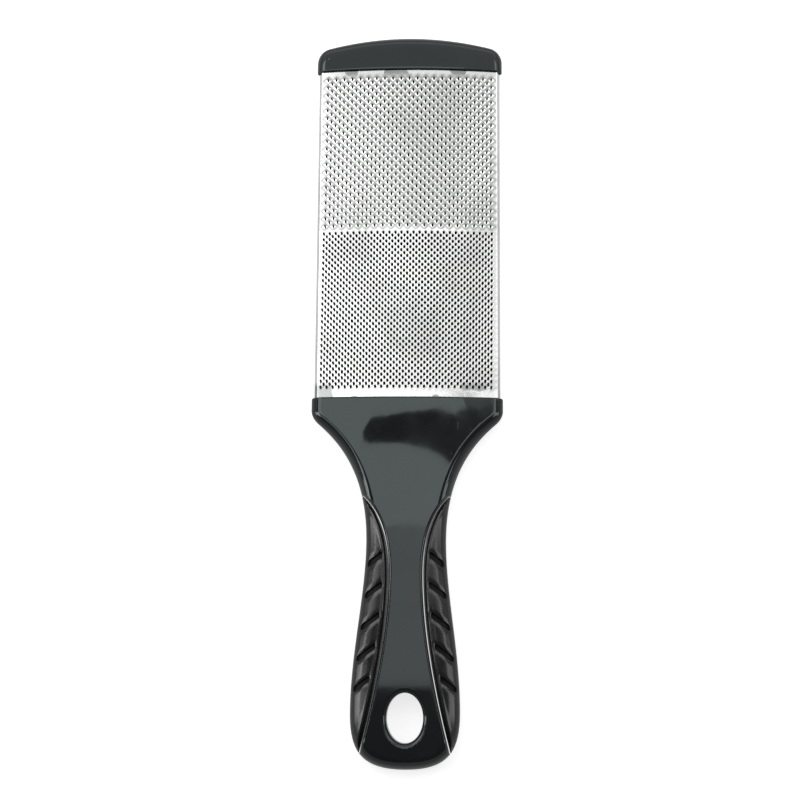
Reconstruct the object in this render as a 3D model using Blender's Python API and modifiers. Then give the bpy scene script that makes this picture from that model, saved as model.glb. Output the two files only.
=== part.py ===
"""Two-sided foot rasp: a moulded handle, two toothed steel sheets on a plastic paddle, and an end cap.

Every piece is drawn from the handle's end, which is at zero along Y, around the middle plane, which is at
zero in Z. The tool's own empty then carries them all, so that the tool lies on the ground with its middle
over the origin, its cap towards +Y and its front face up.
"""

import math

import bmesh
import bpy
import numpy as np

# Whole tool, in metres
OVERALL_LENGTH = 0.2400
THICKNESS = 0.0100

# Head: the station of the socket's mouth, how far down the cap's rim lies, and the sheets between them
SOCKET_MOUTH = 0.1171
CAP_DEPTH = 0.0126
SOCKET_WIDTH = 0.0618
CAP_WIDTH = 0.0616
SHEET_WIDTH = 0.0600
CROWN_RADIUS = 0.1760
SHEET_STEP = 0.0009
SHEET_GAUGE = 0.0004
SHEET_TUCK = 0.0030
FLANGE_LEAN = 0.0007
FOLD_RADIUS = 0.0005
HEAD_EDGE_ROUND = 0.0033
MOUTH_EASE = 0.0003
FIT_GAP = 0.00028

# Tooth fields: the bare margins at cap and socket, the band that divides the fields, the share of the
# showing sheet where it lies, and how many etched dishes lie side by side
FIELD_WIDTH = 0.0568
COARSE_MARGIN = 0.0017
FINE_MARGIN = 0.0024
FIELD_BAND = 0.0006
FIELD_DIVIDE_SHARE = 0.505
COARSE_COUNT = 14
FINE_COUNT = 19
DISH_DEPTH = 0.00024
CUSP_RISE = 0.00014

# Paddle inside the head, with a tang in the socket and a tip in the cap
TANG_WIDTH = 0.0300
TANG_THICKNESS = 0.0050
TANG_LENGTH = 0.0150
TIP_WIDTH = 0.0400
TIP_THICKNESS = 0.0040
TIP_LENGTH = 0.0036

# Cap
CAP_ARC_RADIUS = 0.0780
CAP_CORNER = 0.0046
CAP_NOSE = 0.0050

# Handle outline: half widths at stations from the handle's end
HIP_HALF_WIDTH = 0.01723
HIP_STATION = 0.0175
NECK_HALF_WIDTH = 0.01271
NECK_STATION = 0.0710
FLARE_HALF_WIDTH = 0.0287
FLARE_STATION = 0.1087
SHOULDER_STATION = 0.1130
END_ROUND = 0.0045
EDGE_ROUND = 0.0040
CROWN_FADE = 0.0880
# Where a stretch's two curve handles lie, as shares of the way from its start to its end
NOSE_SHARES = ((0.78, 0.0), (1.0, 0.31))
HIP_SHARES = ((0.0, 0.355), (1.0, 0.68))
FLARE_SHARES = ((0.0, 0.49), (0.41, 0.79))
SHOULDER_SHARES = ((0.55, 0.26), (1.0, 0.60))

# Edge line between the spine and a grip
LINE_TOP = 0.0853
LINE_TOP_HALF_WIDTH = 0.0137
LINE_WAIST = 0.0610
LINE_WAIST_HALF_WIDTH = 0.00525
LINE_FOOT = 0.0050
LINE_FOOT_HALF_WIDTH = 0.0140
LINE_FOOT_SHARES = ((0.0, 0.286), (0.349, 0.616))
LINE_TOP_SHARES = ((0.0, 0.514), (0.444, 0.831))

# Grips, and the rail along the handle's side that they are moulded over
GRIP_FOOT = 0.0060
GRIP_TOP = 0.0846
GRIP_HEIGHT = 0.0046
GRIP_ROUND = 0.0070
GROOVE_DEPTH = 0.0009
GROOVE_WIDTH = 0.0012
GROOVE_SHARE = 0.4
RAIL_THICKNESS = 0.0026
RAIL_REACH = 0.0030
RAIL_FOOT = 0.0220
RAIL_TOP = 0.0720

# Slanted recesses in the grips
SLOT_COUNT = 5
SLOT_FIRST = 0.0265
SLOT_PITCH = 0.0097
SLOT_WIDTH = 0.0015
SLOT_DEPTH = 0.0009
SLOT_SLOPE = math.radians(35.5)
SLOT_INNER_MARGIN = 0.0024
SLOT_OUTER_MARGIN = 0.0012

# Hanging hole
HOLE_STATION = 0.0158
HOLE_WIDTH = 0.0115
HOLE_LENGTH = 0.0155
HOLE_RIM = 0.0013

OVERRUN = 0.0040
MERGE = 0.00002
SMOOTH_ANGLE = math.radians(32)
TOOTH_ANGLE = math.radians(4)
HALF = THICKNESS / 2
CAP_RIM = OVERALL_LENGTH - CAP_DEPTH
SHEET_CROWN = HALF - SHEET_STEP
FIELD_DIVIDE = SOCKET_MOUTH + FIELD_DIVIDE_SHARE * (CAP_RIM - SOCKET_MOUTH)
SHEET_FOOT = SOCKET_MOUTH - SHEET_TUCK
SHEET_TOP = CAP_RIM + SHEET_TUCK

ROUND_STEPS = 5
CROWN_STEPS = 3
CURVE_STEPS = 9
HALF_ARC_STEPS = 7
GRIP_STEPS = 20
HOLE_STEPS = 28
RIM_STEPS = 3


# Objects and materials

def clear_scene():
    for item in list(bpy.data.objects):
        bpy.data.objects.remove(item, do_unlink=True)


def new_collection(name):
    collection = bpy.data.collections.new(name)
    bpy.context.scene.collection.children.link(collection)
    return collection


def finish(name, colour, roughness, metallic):
    material = bpy.data.materials.new(name)
    material.use_nodes = True
    material.diffuse_color = (*colour, 1.0)
    shader = material.node_tree.nodes["Principled BSDF"]
    shader.inputs["Base Color"].default_value = (*colour, 1.0)
    shader.inputs["Roughness"].default_value = roughness
    shader.inputs["Metallic"].default_value = metallic
    return material


class Bench:
    """The tool's collections and its empty, on which each mesh becomes a part or a cutter."""

    def __init__(self):
        self.parts = new_collection("callus_remover")
        self.cutters = new_collection("cutters")
        self.datum = bpy.data.objects.new("tool_datum", None)
        self.datum.location = (0, -OVERALL_LENGTH / 2, HALF)
        self.parts.objects.link(self.datum)

    def place(self, name, bm, collection):
        bmesh.ops.remove_doubles(bm, verts=bm.verts, dist=MERGE)
        bmesh.ops.recalc_face_normals(bm, faces=bm.faces)
        mesh = bpy.data.meshes.new(name)
        bm.to_mesh(mesh)
        bm.free()
        mesh.shade_smooth()
        mesh.set_sharp_from_angle(angle=SMOOTH_ANGLE)
        item = bpy.data.objects.new(name, mesh)
        item.parent = self.datum
        collection.objects.link(item)
        return item

    def part(self, name, bm, material, mirrored=(False, False, False)):
        item = self.place(name, bm, self.parts)
        item.data.materials.append(material)
        if any(mirrored):
            mirror = item.modifiers.new("mirror", "MIRROR")
            mirror.use_axis = mirrored
            mirror.merge_threshold = MERGE
        return item

    def cutter(self, name, bm):
        item = self.place(name, bm, self.cutters)
        item.hide_render = True
        item.display_type = "WIRE"
        return item

    def combine(self, target, tool, operation="DIFFERENCE"):
        boolean = target.modifiers.new(tool.name, "BOOLEAN")
        boolean.operation = operation
        boolean.solver = "EXACT"
        boolean.object = tool


# Curves, skins and extrusions

def stretch(start, end, shares, steps):
    """Points of a cubic curve from start up to, and not with, end."""
    start, end = np.array(start, float), np.array(end, float)
    first, second = (start + (end - start) * np.array(share) for share in shares)
    t = np.linspace(0, 1, steps, endpoint=False)[:, None]
    return (
        (1 - t) ** 3 * start + 3 * (1 - t) ** 2 * t * first
        + 3 * (1 - t) * t ** 2 * second + t ** 3 * end
    )


def handle_outline():
    """(half width, station) pairs from the handle's end to the socket's mouth."""
    widest = SOCKET_WIDTH / 2
    hip = (HIP_HALF_WIDTH, HIP_STATION)
    neck = (NECK_HALF_WIDTH, NECK_STATION)
    flare = (FLARE_HALF_WIDTH, FLARE_STATION)
    shoulder = (widest, SHOULDER_STATION)
    eased = (widest, SOCKET_MOUTH - MOUTH_EASE)
    mouth = (widest - MOUTH_EASE, SOCKET_MOUTH)
    return np.concatenate([
        stretch((0, 0), hip, NOSE_SHARES, CURVE_STEPS),
        stretch(hip, neck, HIP_SHARES, CURVE_STEPS),
        stretch(neck, flare, FLARE_SHARES, CURVE_STEPS),
        stretch(flare, shoulder, SHOULDER_SHARES, ROUND_STEPS),
        [shoulder, eased, mouth],
    ])


def edge_line():
    """(half width, station) pairs of the line between the spine and a grip, from its foot to its top."""
    foot = (LINE_FOOT_HALF_WIDTH, LINE_FOOT)
    waist = (LINE_WAIST_HALF_WIDTH, LINE_WAIST)
    top = (LINE_TOP_HALF_WIDTH, LINE_TOP)
    lower = stretch(waist, foot, LINE_FOOT_SHARES, CURVE_STEPS)
    upper = stretch(waist, top, LINE_TOP_SHARES, CURVE_STEPS)
    return np.concatenate([[foot], lower[::-1], upper[1:], [top]])


def half_width_at(curve, station):
    return np.interp(station, curve[:, 1], curve[:, 0])


def sag(x):
    """How far the crown's arc has fallen at x from its middle."""
    return CROWN_RADIUS - np.sqrt(CROWN_RADIUS ** 2 - np.square(x))


def across(path, station):
    """(x, z) points set across the tool at a station."""
    return [(x, station, z) for x, z in path]


def skin(rows, bm=None):
    """An open skin of quads through rows of as many points each. Points that coincide merge later."""
    bm = bm or bmesh.new()
    grid = [[bm.verts.new(point) for point in row] for row in rows]
    for low, high in zip(grid, grid[1:]):
        for i in range(len(low) - 1):
            bm.faces.new((low[i], high[i], high[i + 1], low[i + 1]))
    return bm


def extruded(outline, run):
    """A flat outline of points, drawn out along a run."""
    bm = bmesh.new()
    face = bm.faces.new([bm.verts.new(point) for point in outline])
    drawn = bmesh.ops.extrude_face_region(bm, geom=[face])["geom"]
    moved = [item for item in drawn if isinstance(item, bmesh.types.BMVert)]
    bmesh.ops.translate(bm, verts=moved, vec=run)
    return bm


def slab(quarter, low, high):
    """A bar along the tool from a quarter of its section, a path from its side to its middle."""
    quarter = np.array(quarter)
    front = np.concatenate([quarter, quarter[-2::-1] * (-1, 1)])
    outline = np.concatenate([front, front[::-1] * (1, -1)])
    return extruded(across(outline, low), (0, high - low, 0))


def crown_path(half_width, crown):
    """Half of the head's crown, from its side to its middle."""
    x = np.linspace(half_width, 0, HALF_ARC_STEPS + 1)
    return np.stack([x, crown - sag(x)], axis=1)


def sheet_paths():
    """A sheet's outer and inner paths from a flange's foot to the middle, and where the crown starts."""
    edge = SHEET_WIDTH / 2
    fold = edge - FLANGE_LEAN
    foot = FIT_GAP / 2
    corner = np.array([fold, SHEET_CROWN - sag(fold)])
    lean = (np.array([edge, foot]) - corner) / np.linalg.norm([FLANGE_LEAN, corner[1] - foot])
    below = corner + FOLD_RADIUS * lean
    crown = crown_path(fold - FOLD_RADIUS, SHEET_CROWN)
    bend = (crown[0] + 2 * corner + below) / 4
    outer = np.array([(edge, foot), below, bend, *crown])
    crown_at = len(outer) - len(crown)
    inner = outer - (0, SHEET_GAUGE)
    inner[:2, 1] = outer[:2, 1]
    inner[:crown_at + 1, 0] -= SHEET_GAUGE
    return outer, inner, crown_at


def pocket_path():
    """The two sheets' outside with its fit gap, from the side to the middle."""
    outer, _, crown_at = sheet_paths()
    outer[:crown_at, 0] += FIT_GAP
    outer[crown_at - 1:, 1] += FIT_GAP
    return outer


def flat_path(width, thickness, clearance):
    half_width, height = width / 2 + clearance, thickness / 2 + clearance
    return [(half_width, height), (0, height)]


# Handle

def crown_share(station):
    """How much of the head's crown the handle has at a station: all at the mouth, none on the spine."""
    t = np.clip((station - CROWN_FADE) / (SOCKET_MOUTH - CROWN_FADE), 0, 1)
    return t * t * (3 - 2 * t)


def handle_height(station):
    rounded = np.clip(1 - station / END_ROUND, 0, 1)
    ease = max(0, station - (SOCKET_MOUTH - MOUTH_EASE))
    return HALF * math.sqrt(1 - rounded ** 2) - ease


def handle_quarter():
    """Sections of the handle's right front quarter, from its side to its middle."""
    turn = np.linspace(0, math.pi / 2, ROUND_STEPS, endpoint=False)
    rows = []
    for half_width, station in handle_outline():
        share = crown_share(station)
        edge = min(half_width, EDGE_ROUND + (HEAD_EDGE_ROUND - EDGE_ROUND) * share)
        flat = half_width - edge
        height = handle_height(station)
        side_z = (height - share * sag(flat)) * np.sin(turn)
        crown_x = np.linspace(flat, 0, CROWN_STEPS + 1)
        x = np.concatenate([flat + edge * np.cos(turn), crown_x])
        z = np.concatenate([side_z, height - share * sag(crown_x)])
        rows.append(across(zip(x, z), station))
    rows.append([(0, SOCKET_MOUTH, 0)] * len(rows[0]))
    return rows


def hole_cutter(bench):
    """An oval bore, turned and then stretched, that flares to a rounded rim at both faces."""
    turn = np.linspace(0, math.pi / 2, RIM_STEPS + 1)
    bore = HOLE_WIDTH / 2
    top = HALF + OVERRUN
    x = bore + HOLE_RIM * (1 - np.sin(turn))
    z = HALF - HOLE_RIM + HOLE_RIM * np.cos(turn)
    upper = [(0, top), (bore + HOLE_RIM, top), *zip(x, z)]
    profile = upper + [(px, -pz) for px, pz in reversed(upper)]
    bm = bmesh.new()
    verts = [bm.verts.new((px, 0, pz)) for px, pz in profile]
    for pair in zip(verts, verts[1:]):
        bm.edges.new(pair)
    cutter = bench.cutter("hole_cutter", bm)
    cutter.location = (0, HOLE_STATION, 0)
    cutter.scale = (1, HOLE_LENGTH / HOLE_WIDTH, 1)
    screw = cutter.modifiers.new("turned", "SCREW")
    screw.steps = screw.render_steps = HOLE_STEPS
    screw.use_merge_vertices = True
    screw.merge_threshold = MERGE
    return cutter


def rail(side, clearance):
    """A rail on the middle plane that stands out of the edge line, or the channel that clears it."""
    line = edge_line()
    low, high = RAIL_FOOT - clearance, RAIL_TOP + clearance
    between = line[(line[:, 1] > low) & (line[:, 1] < high), 1]
    stations = np.array([low, *between, high])
    path = np.stack([half_width_at(line, stations), stations], axis=1)
    outline = [*(path + (RAIL_REACH + clearance, 0)), *(path[::-1] - (OVERRUN, 0))]
    height = RAIL_THICKNESS / 2 + clearance
    return extruded([(side * x, y, -height) for x, y in outline], (0, 0, 2 * height))


def grip_bed(bench, name, side):
    """The cutter of a grip's bed, from the edge line outwards, which leaves the rail standing."""
    outside = SOCKET_WIDTH / 2 + OVERRUN
    outline = [*edge_line(), (outside, LINE_TOP), (outside, LINE_FOOT)]
    top = HALF + OVERRUN
    bm = extruded([(side * x, y, -top) for x, y in outline], (0, 0, 2 * top))
    bed = bench.cutter(name + "_bed_cutter", bm)
    bench.combine(bed, bench.cutter(name + "_rail", rail(side, 0)))
    return bed


def build_handle(bench, material):
    handle = bench.part("handle_body", skin(handle_quarter()), material, (True, False, True))
    floor = SHEET_FOOT - FIT_GAP
    pocket = slab(pocket_path(), floor, SOCKET_MOUTH + OVERRUN)
    tang = slab(flat_path(TANG_WIDTH, TANG_THICKNESS, FIT_GAP), floor - TANG_LENGTH, SOCKET_MOUTH)
    bench.combine(handle, hole_cutter(bench))
    bench.combine(handle, grip_bed(bench, "grip_right", 1))
    bench.combine(handle, grip_bed(bench, "grip_left", -1))
    bench.combine(handle, bench.cutter("socket_cutter", pocket))
    bench.combine(handle, bench.cutter("tang_cutter", tang))


# Grips

def grip_surface(x, half_width):
    """Height of a grip's skin at x: level inside, then an ellipse down to the outline."""
    rise = np.clip((x - half_width + GRIP_ROUND) / GRIP_ROUND, 0, 1)
    return GRIP_HEIGHT * np.sqrt(1 - rise ** 2)


def grip_half(side):
    """Sections of a grip's front half, from its outside over its skin and down its inner wall."""
    turn = np.linspace(0, math.pi / 2, ROUND_STEPS + 1)
    eased = (1 - np.cos(np.linspace(0, math.pi, GRIP_STEPS + 1))) / 2
    rows = []
    for station in GRIP_FOOT + (GRIP_TOP - GRIP_FOOT) * eased:
        inner = half_width_at(edge_line(), station) + FIT_GAP
        outer = half_width_at(handle_outline(), station)
        lip = min(GROOVE_WIDTH, GROOVE_SHARE * (outer - inner))
        x = inner + lip + (outer - inner - lip) * np.cos(turn)
        groove = grip_surface(inner, outer) - GROOVE_DEPTH
        path = [*zip(x, grip_surface(x, outer)), (inner, groove), (inner, 0)]
        rows.append([(side * px, station, pz) for px, pz in path])
    first, last = rows[0][-1], rows[-1][-1]
    return [[first] * len(rows[0]), *rows, [last] * len(rows[0])]


def slot(side, face, index):
    """One recess: a round-ended slot whose floor falls with the grip's skin towards the outline."""
    station = SLOT_FIRST + index * SLOT_PITCH
    half_width = half_width_at(handle_outline(), station)
    inner = half_width_at(edge_line(), station) + SLOT_INNER_MARGIN
    outer = half_width - SLOT_OUTER_MARGIN
    radius = SLOT_WIDTH / 2
    run = (outer - inner) / 2 / math.cos(SLOT_SLOPE) - radius
    turn = np.linspace(-math.pi / 2, math.pi / 2, ROUND_STEPS)
    end = np.stack([run + radius * np.cos(turn), radius * np.sin(turn)], axis=1)
    along, aside = np.concatenate([end, -end]).T
    x = (inner + outer) / 2 + along * math.cos(SLOT_SLOPE) + aside * math.sin(SLOT_SLOPE)
    y = station - along * math.sin(SLOT_SLOPE) + aside * math.cos(SLOT_SLOPE)
    high, low = grip_surface(np.array([inner, outer]), half_width) - SLOT_DEPTH
    floor = high + (low - high) * (x - inner) / (outer - inner)
    return extruded(zip(side * x, y, face * floor), (0, 0, face * (HALF + OVERRUN)))


def build_grip(bench, name, side, material):
    grip = bench.part(name, skin(grip_half(side)), material, (False, False, True))
    bench.combine(grip, bench.cutter(name + "_channel_cutter", rail(side, FIT_GAP)))
    for index in range(SLOT_COUNT):
        for face, label in ((1, "front"), (-1, "back")):
            cutter = bench.cutter(f"{name}_{label}_slot_{index + 1}", slot(side, face, index))
            bench.combine(grip, cutter)


# Rasp sheets

def tooth_field(bm, count, low, high):
    """Half a field on the crown: each dish is a pit between four raised cusps, in a level border."""
    start = len(bm.faces)
    rows = 2 * round((high - low) * count / FIELD_WIDTH)
    grid = bmesh.ops.create_grid(bm, x_segments=count, y_segments=rows, size=1)
    verts = np.array(grid["verts"]).reshape(rows + 1, count + 1)
    cusps = set()
    for (j, i), vert in np.ndenumerate(verts):
        raised = (i + j) % 2 == 1
        inside = i < count and 0 < j < rows
        lift = (CUSP_RISE if raised else -DISH_DEPTH) if inside else 0
        angle = i / count * FIELD_WIDTH / 2 / CROWN_RADIUS
        radius = CROWN_RADIUS + lift
        z = SHEET_CROWN - CROWN_RADIUS + radius * math.cos(angle)
        vert.co = (radius * math.sin(angle), low + (high - low) * j / rows, z)
        if raised:
            cusps.add(vert)
    bm.faces.ensure_lookup_table()
    for face in bm.faces[start:]:
        bmesh.utils.face_split(face, *(vert for vert in face.verts if vert in cusps))
    return verts


def bridge(bm, first, second):
    """Triangles between two chains of unlike counts, each time stepping on the chain that lags."""
    i = j = 0
    while i < len(first) - 1 or j < len(second) - 1:
        if (i + 1) * (len(second) - 1) <= (j + 1) * (len(first) - 1):
            bm.faces.new((first[i], first[i + 1], second[j]))
            i += 1
        else:
            bm.faces.new((first[i], second[j + 1], second[j]))
            j += 1


def sheet_half(face):
    """Half a folded sheet, open at the middle, with half of each tooth field in its crown."""
    outer, inner, crown_at = sheet_paths()
    bm = bmesh.new()
    inside = [*inner[::-1], *outer[:crown_at + 1]]
    skin([across(inside, SHEET_FOOT), across(inside, SHEET_TOP)], bm)
    for station in (SHEET_FOOT, SHEET_TOP):
        skin([across(outer, station), across(inner, station)], bm)
    crown = outer[:crown_at - 1:-1]
    foot = [bm.verts.new(point) for point in across(crown, SHEET_FOOT)]
    top = [bm.verts.new(point) for point in across(crown, SHEET_TOP)]
    fine = tooth_field(bm, FINE_COUNT, SOCKET_MOUTH + FINE_MARGIN, FIELD_DIVIDE - FIELD_BAND / 2)
    coarse = tooth_field(bm, COARSE_COUNT, FIELD_DIVIDE + FIELD_BAND / 2, CAP_RIM - COARSE_MARGIN)
    bridge(bm, foot, fine[0])
    bridge(bm, fine[-1], coarse[0])
    bridge(bm, coarse[-1], top)
    bridge(bm, [foot[-1], top[-1]], [*fine[:, -1], *coarse[:, -1]])
    bmesh.ops.scale(bm, vec=(1, 1, face), verts=bm.verts)
    return bm


def build_sheet(bench, name, face, material):
    sheet = bench.part(name, sheet_half(face), material, (True, False, False))
    sheet.data.set_sharp_from_angle(angle=TOOTH_ANGLE)


# Paddle and cap

def build_paddle(bench, material):
    """The core that both sheets are folded round, with its tang in the socket and its tip in the cap."""
    inside = SHEET_GAUGE + FIT_GAP
    half_width = SHEET_WIDTH / 2 - FLANGE_LEAN - FOLD_RADIUS - inside
    body = slab(crown_path(half_width, SHEET_CROWN - inside), SHEET_FOOT, SHEET_TOP)
    paddle = bench.part("core_paddle", body, material)
    tang_end = SHEET_FOOT - TANG_LENGTH + FIT_GAP
    tang = slab(flat_path(TANG_WIDTH, TANG_THICKNESS, 0), tang_end, SHEET_FOOT + OVERRUN)
    tip = slab(flat_path(TIP_WIDTH, TIP_THICKNESS, 0), SHEET_TOP - OVERRUN, SHEET_TOP + TIP_LENGTH)
    bench.combine(paddle, bench.cutter("tang", tang), "UNION")
    bench.combine(paddle, bench.cutter("tip", tip), "UNION")


def cap_end(x):
    """Station of the cap's outline at x: a long arc, then a rounded corner down to its side."""
    side = CAP_WIDTH / 2 - CAP_CORNER
    centre = OVERALL_LENGTH - CAP_ARC_RADIUS
    corner = centre + math.sqrt((CAP_ARC_RADIUS - CAP_CORNER) ** 2 - side ** 2)
    touch = side * CAP_ARC_RADIUS / (CAP_ARC_RADIUS - CAP_CORNER)
    if abs(x) <= touch:
        return centre + math.sqrt(CAP_ARC_RADIUS ** 2 - x ** 2)
    return corner + math.sqrt(max(0, CAP_CORNER ** 2 - (abs(x) - side) ** 2))


def cap_quarter():
    """Lengthwise sections of the cap's right front quarter, from its middle out to its side."""
    flat = CAP_WIDTH / 2 - HEAD_EDGE_ROUND
    crown_x = np.linspace(0, flat, HALF_ARC_STEPS + 1)
    turn = np.linspace(math.pi / 2, 0, ROUND_STEPS + 1)
    x = np.concatenate([crown_x[:-1], flat + HEAD_EDGE_ROUND * np.cos(turn)])
    z = np.concatenate([HALF - sag(crown_x[:-1]), (HALF - sag(flat)) * np.sin(turn)])
    rows = []
    for px, height in zip(x, z):
        end = cap_end(px)
        nose = min(CAP_NOSE, end - CAP_RIM)
        path = [(CAP_RIM, 0), (CAP_RIM, height)]
        path += zip(end - nose + nose * np.cos(turn), height * np.sin(turn))
        rows.append([(px, y, pz) for y, pz in path])
    return rows


def build_cap(bench, material):
    cap = bench.part("end_cap", skin(cap_quarter()), material, (True, False, True))
    floor = SHEET_TOP + FIT_GAP
    pocket = slab(pocket_path(), CAP_RIM - OVERRUN, floor)
    tip = slab(flat_path(TIP_WIDTH, TIP_THICKNESS, FIT_GAP), CAP_RIM, floor + TIP_LENGTH)
    bench.combine(cap, bench.cutter("cap_cutter", pocket))
    bench.combine(cap, bench.cutter("tip_cutter", tip))


def main():
    clear_scene()
    bench = Bench()
    gloss = finish("gloss_black_plastic", (0.012, 0.014, 0.015), 0.18, 0.0)
    satin = finish("satin_black_grip", (0.013, 0.015, 0.016), 0.42, 0.0)
    steel = finish("etched_stainless_steel", (0.72, 0.73, 0.72), 0.28, 1.0)
    core = finish("matt_black_plastic", (0.020, 0.021, 0.022), 0.6, 0.0)
    build_handle(bench, gloss)
    build_grip(bench, "grip_right", 1, satin)
    build_grip(bench, "grip_left", -1, satin)
    build_paddle(bench, core)
    build_sheet(bench, "rasp_sheet_front", 1, steel)
    build_sheet(bench, "rasp_sheet_back", -1, steel)
    build_cap(bench, gloss)


main()
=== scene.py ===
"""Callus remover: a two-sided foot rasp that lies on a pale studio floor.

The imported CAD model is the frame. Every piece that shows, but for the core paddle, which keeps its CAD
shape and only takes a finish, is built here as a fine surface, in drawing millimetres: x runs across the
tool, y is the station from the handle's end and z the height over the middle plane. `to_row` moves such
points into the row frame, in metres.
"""

import logging
import math
from dataclasses import dataclass
from enum import Enum
from typing import Any, Sequence

import bpy
import numpy as np
from mathutils import Matrix, Vector


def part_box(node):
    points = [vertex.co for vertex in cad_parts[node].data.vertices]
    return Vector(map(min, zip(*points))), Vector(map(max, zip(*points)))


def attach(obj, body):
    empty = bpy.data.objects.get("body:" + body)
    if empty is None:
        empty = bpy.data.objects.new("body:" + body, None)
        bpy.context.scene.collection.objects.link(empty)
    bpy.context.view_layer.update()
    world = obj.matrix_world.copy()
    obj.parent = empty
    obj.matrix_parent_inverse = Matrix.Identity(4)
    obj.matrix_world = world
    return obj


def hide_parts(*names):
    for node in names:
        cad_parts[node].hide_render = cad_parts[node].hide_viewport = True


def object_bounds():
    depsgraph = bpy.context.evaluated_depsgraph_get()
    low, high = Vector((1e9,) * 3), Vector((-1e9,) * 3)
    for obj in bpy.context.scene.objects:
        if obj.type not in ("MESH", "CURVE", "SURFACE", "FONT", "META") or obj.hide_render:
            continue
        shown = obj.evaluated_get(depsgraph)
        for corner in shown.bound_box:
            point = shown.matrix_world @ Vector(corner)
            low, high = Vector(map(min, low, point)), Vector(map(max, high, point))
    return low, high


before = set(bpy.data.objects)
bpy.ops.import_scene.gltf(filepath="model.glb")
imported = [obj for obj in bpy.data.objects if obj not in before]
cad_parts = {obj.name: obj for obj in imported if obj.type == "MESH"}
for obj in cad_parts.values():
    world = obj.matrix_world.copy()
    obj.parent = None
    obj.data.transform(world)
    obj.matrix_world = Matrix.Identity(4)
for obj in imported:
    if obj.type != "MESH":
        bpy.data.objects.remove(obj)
CAD_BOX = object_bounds()

LOG = logging.getLogger("callus_remover")
MM = 0.001
# Points of one rounded place become one. The shift keeps round sizes off the rounding's steps.
WELD_MM = 1e-4
WELD_SHIFT = 0.137

Pair = tuple[float, float]
Triple = tuple[float, float, float]
Shares = tuple[Pair, Pair]
Marks = dict[str, np.ndarray]
Socket = bpy.types.NodeSocket


class Side(Enum):
    """Which side of the tool a mirrored piece lies on."""

    LEFT = -1
    RIGHT = 1


class Face(Enum):
    """Which face of the tool a sheet covers."""

    FRONT = 1
    BACK = -1


class Slot(Enum):
    """The record's material slots."""

    GLOSS = "gloss_black_plastic"
    SATIN = "satin_black_grip"
    CORE = "matt_black_plastic"
    STEEL = "etched_stainless_steel"


# Sizes

@dataclass(frozen=True)
class ToolSizes:
    """Sizes that several pieces share, in millimetres. The first seven come from the frame."""

    length: float
    half: float
    mouth: float
    rim: float
    socket_half: float
    cap_half: float
    sheet_half: float
    crown_radius: float = 176.0
    sheet_step: float = 0.9
    gauge: float = 0.4
    tuck: float = 3.0
    gap: float = 0.28
    flange_lean: float = 0.7
    fold_radius: float = 0.35
    tang_half: float = 15.0
    tang_height: float = 2.5
    tang_length: float = 15.0
    tip_half: float = 20.0
    tip_height: float = 2.0
    tip_length: float = 3.6

    @classmethod
    def from_frame(cls) -> "ToolSizes":
        """Reads the shared sizes off the boxes of the CAD nodes."""
        low, high = CAD_BOX
        length = (high[1] - low[1]) / MM
        handle, cap, sheet = (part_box(n)[1] for n in ("handle_body", "end_cap", "rasp_sheet_front"))
        return cls(
            length=length,
            half=(high[2] - low[2]) / MM / 2,
            mouth=handle.y / MM + length / 2,
            rim=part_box("end_cap")[0].y / MM + length / 2,
            socket_half=handle.x / MM,
            cap_half=cap.x / MM,
            sheet_half=sheet.x / MM,
        )

    @property
    def sheet_crown(self) -> float:
        """Height of a sheet's middle over the middle plane."""
        return self.half - self.sheet_step

    @property
    def sheet_foot(self) -> float:
        """Station of a sheet's hidden lower end."""
        return self.mouth - self.tuck

    @property
    def sheet_top(self) -> float:
        """Station of a sheet's hidden upper end."""
        return self.rim + self.tuck

    @property
    def fold(self) -> float:
        """Half width at which a sheet would turn sharply down into its flange."""
        return self.sheet_half - self.flange_lean

    @property
    def crown_edge(self) -> float:
        """Half width at which a sheet's crown ends and its fold starts."""
        return self.fold - self.fold_radius

    def sag(self, x: np.ndarray) -> np.ndarray:
        """How far the head's crown has fallen at x: R - sqrt(R^2 - x^2)."""
        return self.crown_radius - np.sqrt(self.crown_radius ** 2 - np.square(x))

    def sheet_height(self, x: np.ndarray) -> np.ndarray:
        """Height of a sheet's crown at x."""
        return self.sheet_crown - self.sag(x)


@dataclass(frozen=True)
class OutlineSizes:
    """The handle's outline as half widths and stations, with each stretch's curve handles as shares."""

    hip: Pair = (17.23, 17.5)
    neck: Pair = (12.71, 71.0)
    flare: Pair = (28.7, 108.7)
    shoulder: float = 113.0
    nose_shares: Shares = ((0.78, 0.0), (1.0, 0.31))
    hip_shares: Shares = ((0.0, 0.355), (1.0, 0.68))
    flare_shares: Shares = ((0.0, 0.49), (0.41, 0.79))
    shoulder_shares: Shares = ((0.55, 0.26), (1.0, 0.60))


@dataclass(frozen=True)
class EdgeLineSizes:
    """The line between the spine and a grip."""

    top: Pair = (13.7, 85.3)
    waist: Pair = (5.25, 61.0)
    foot: Pair = (14.0, 5.0)
    foot_shares: Shares = ((0.0, 0.286), (0.349, 0.616))
    top_shares: Shares = ((0.0, 0.514), (0.444, 0.831))


@dataclass(frozen=True)
class HandleSizes:
    """The handle's own roundings and the hanging hole."""

    edge_round: float = 4.0
    head_round: float = 3.3
    crown_start: float = 60.0
    crown_power: float = 1.3
    lip_round: float = 0.9
    mouth_round: float = 0.6
    settle: float = 14.0
    hole_station: float = 15.8
    hole_half_width: float = 5.75
    hole_half_length: float = 7.75
    hole_rim: float = 1.4
    hole_rim_end: float = math.radians(80)


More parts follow.
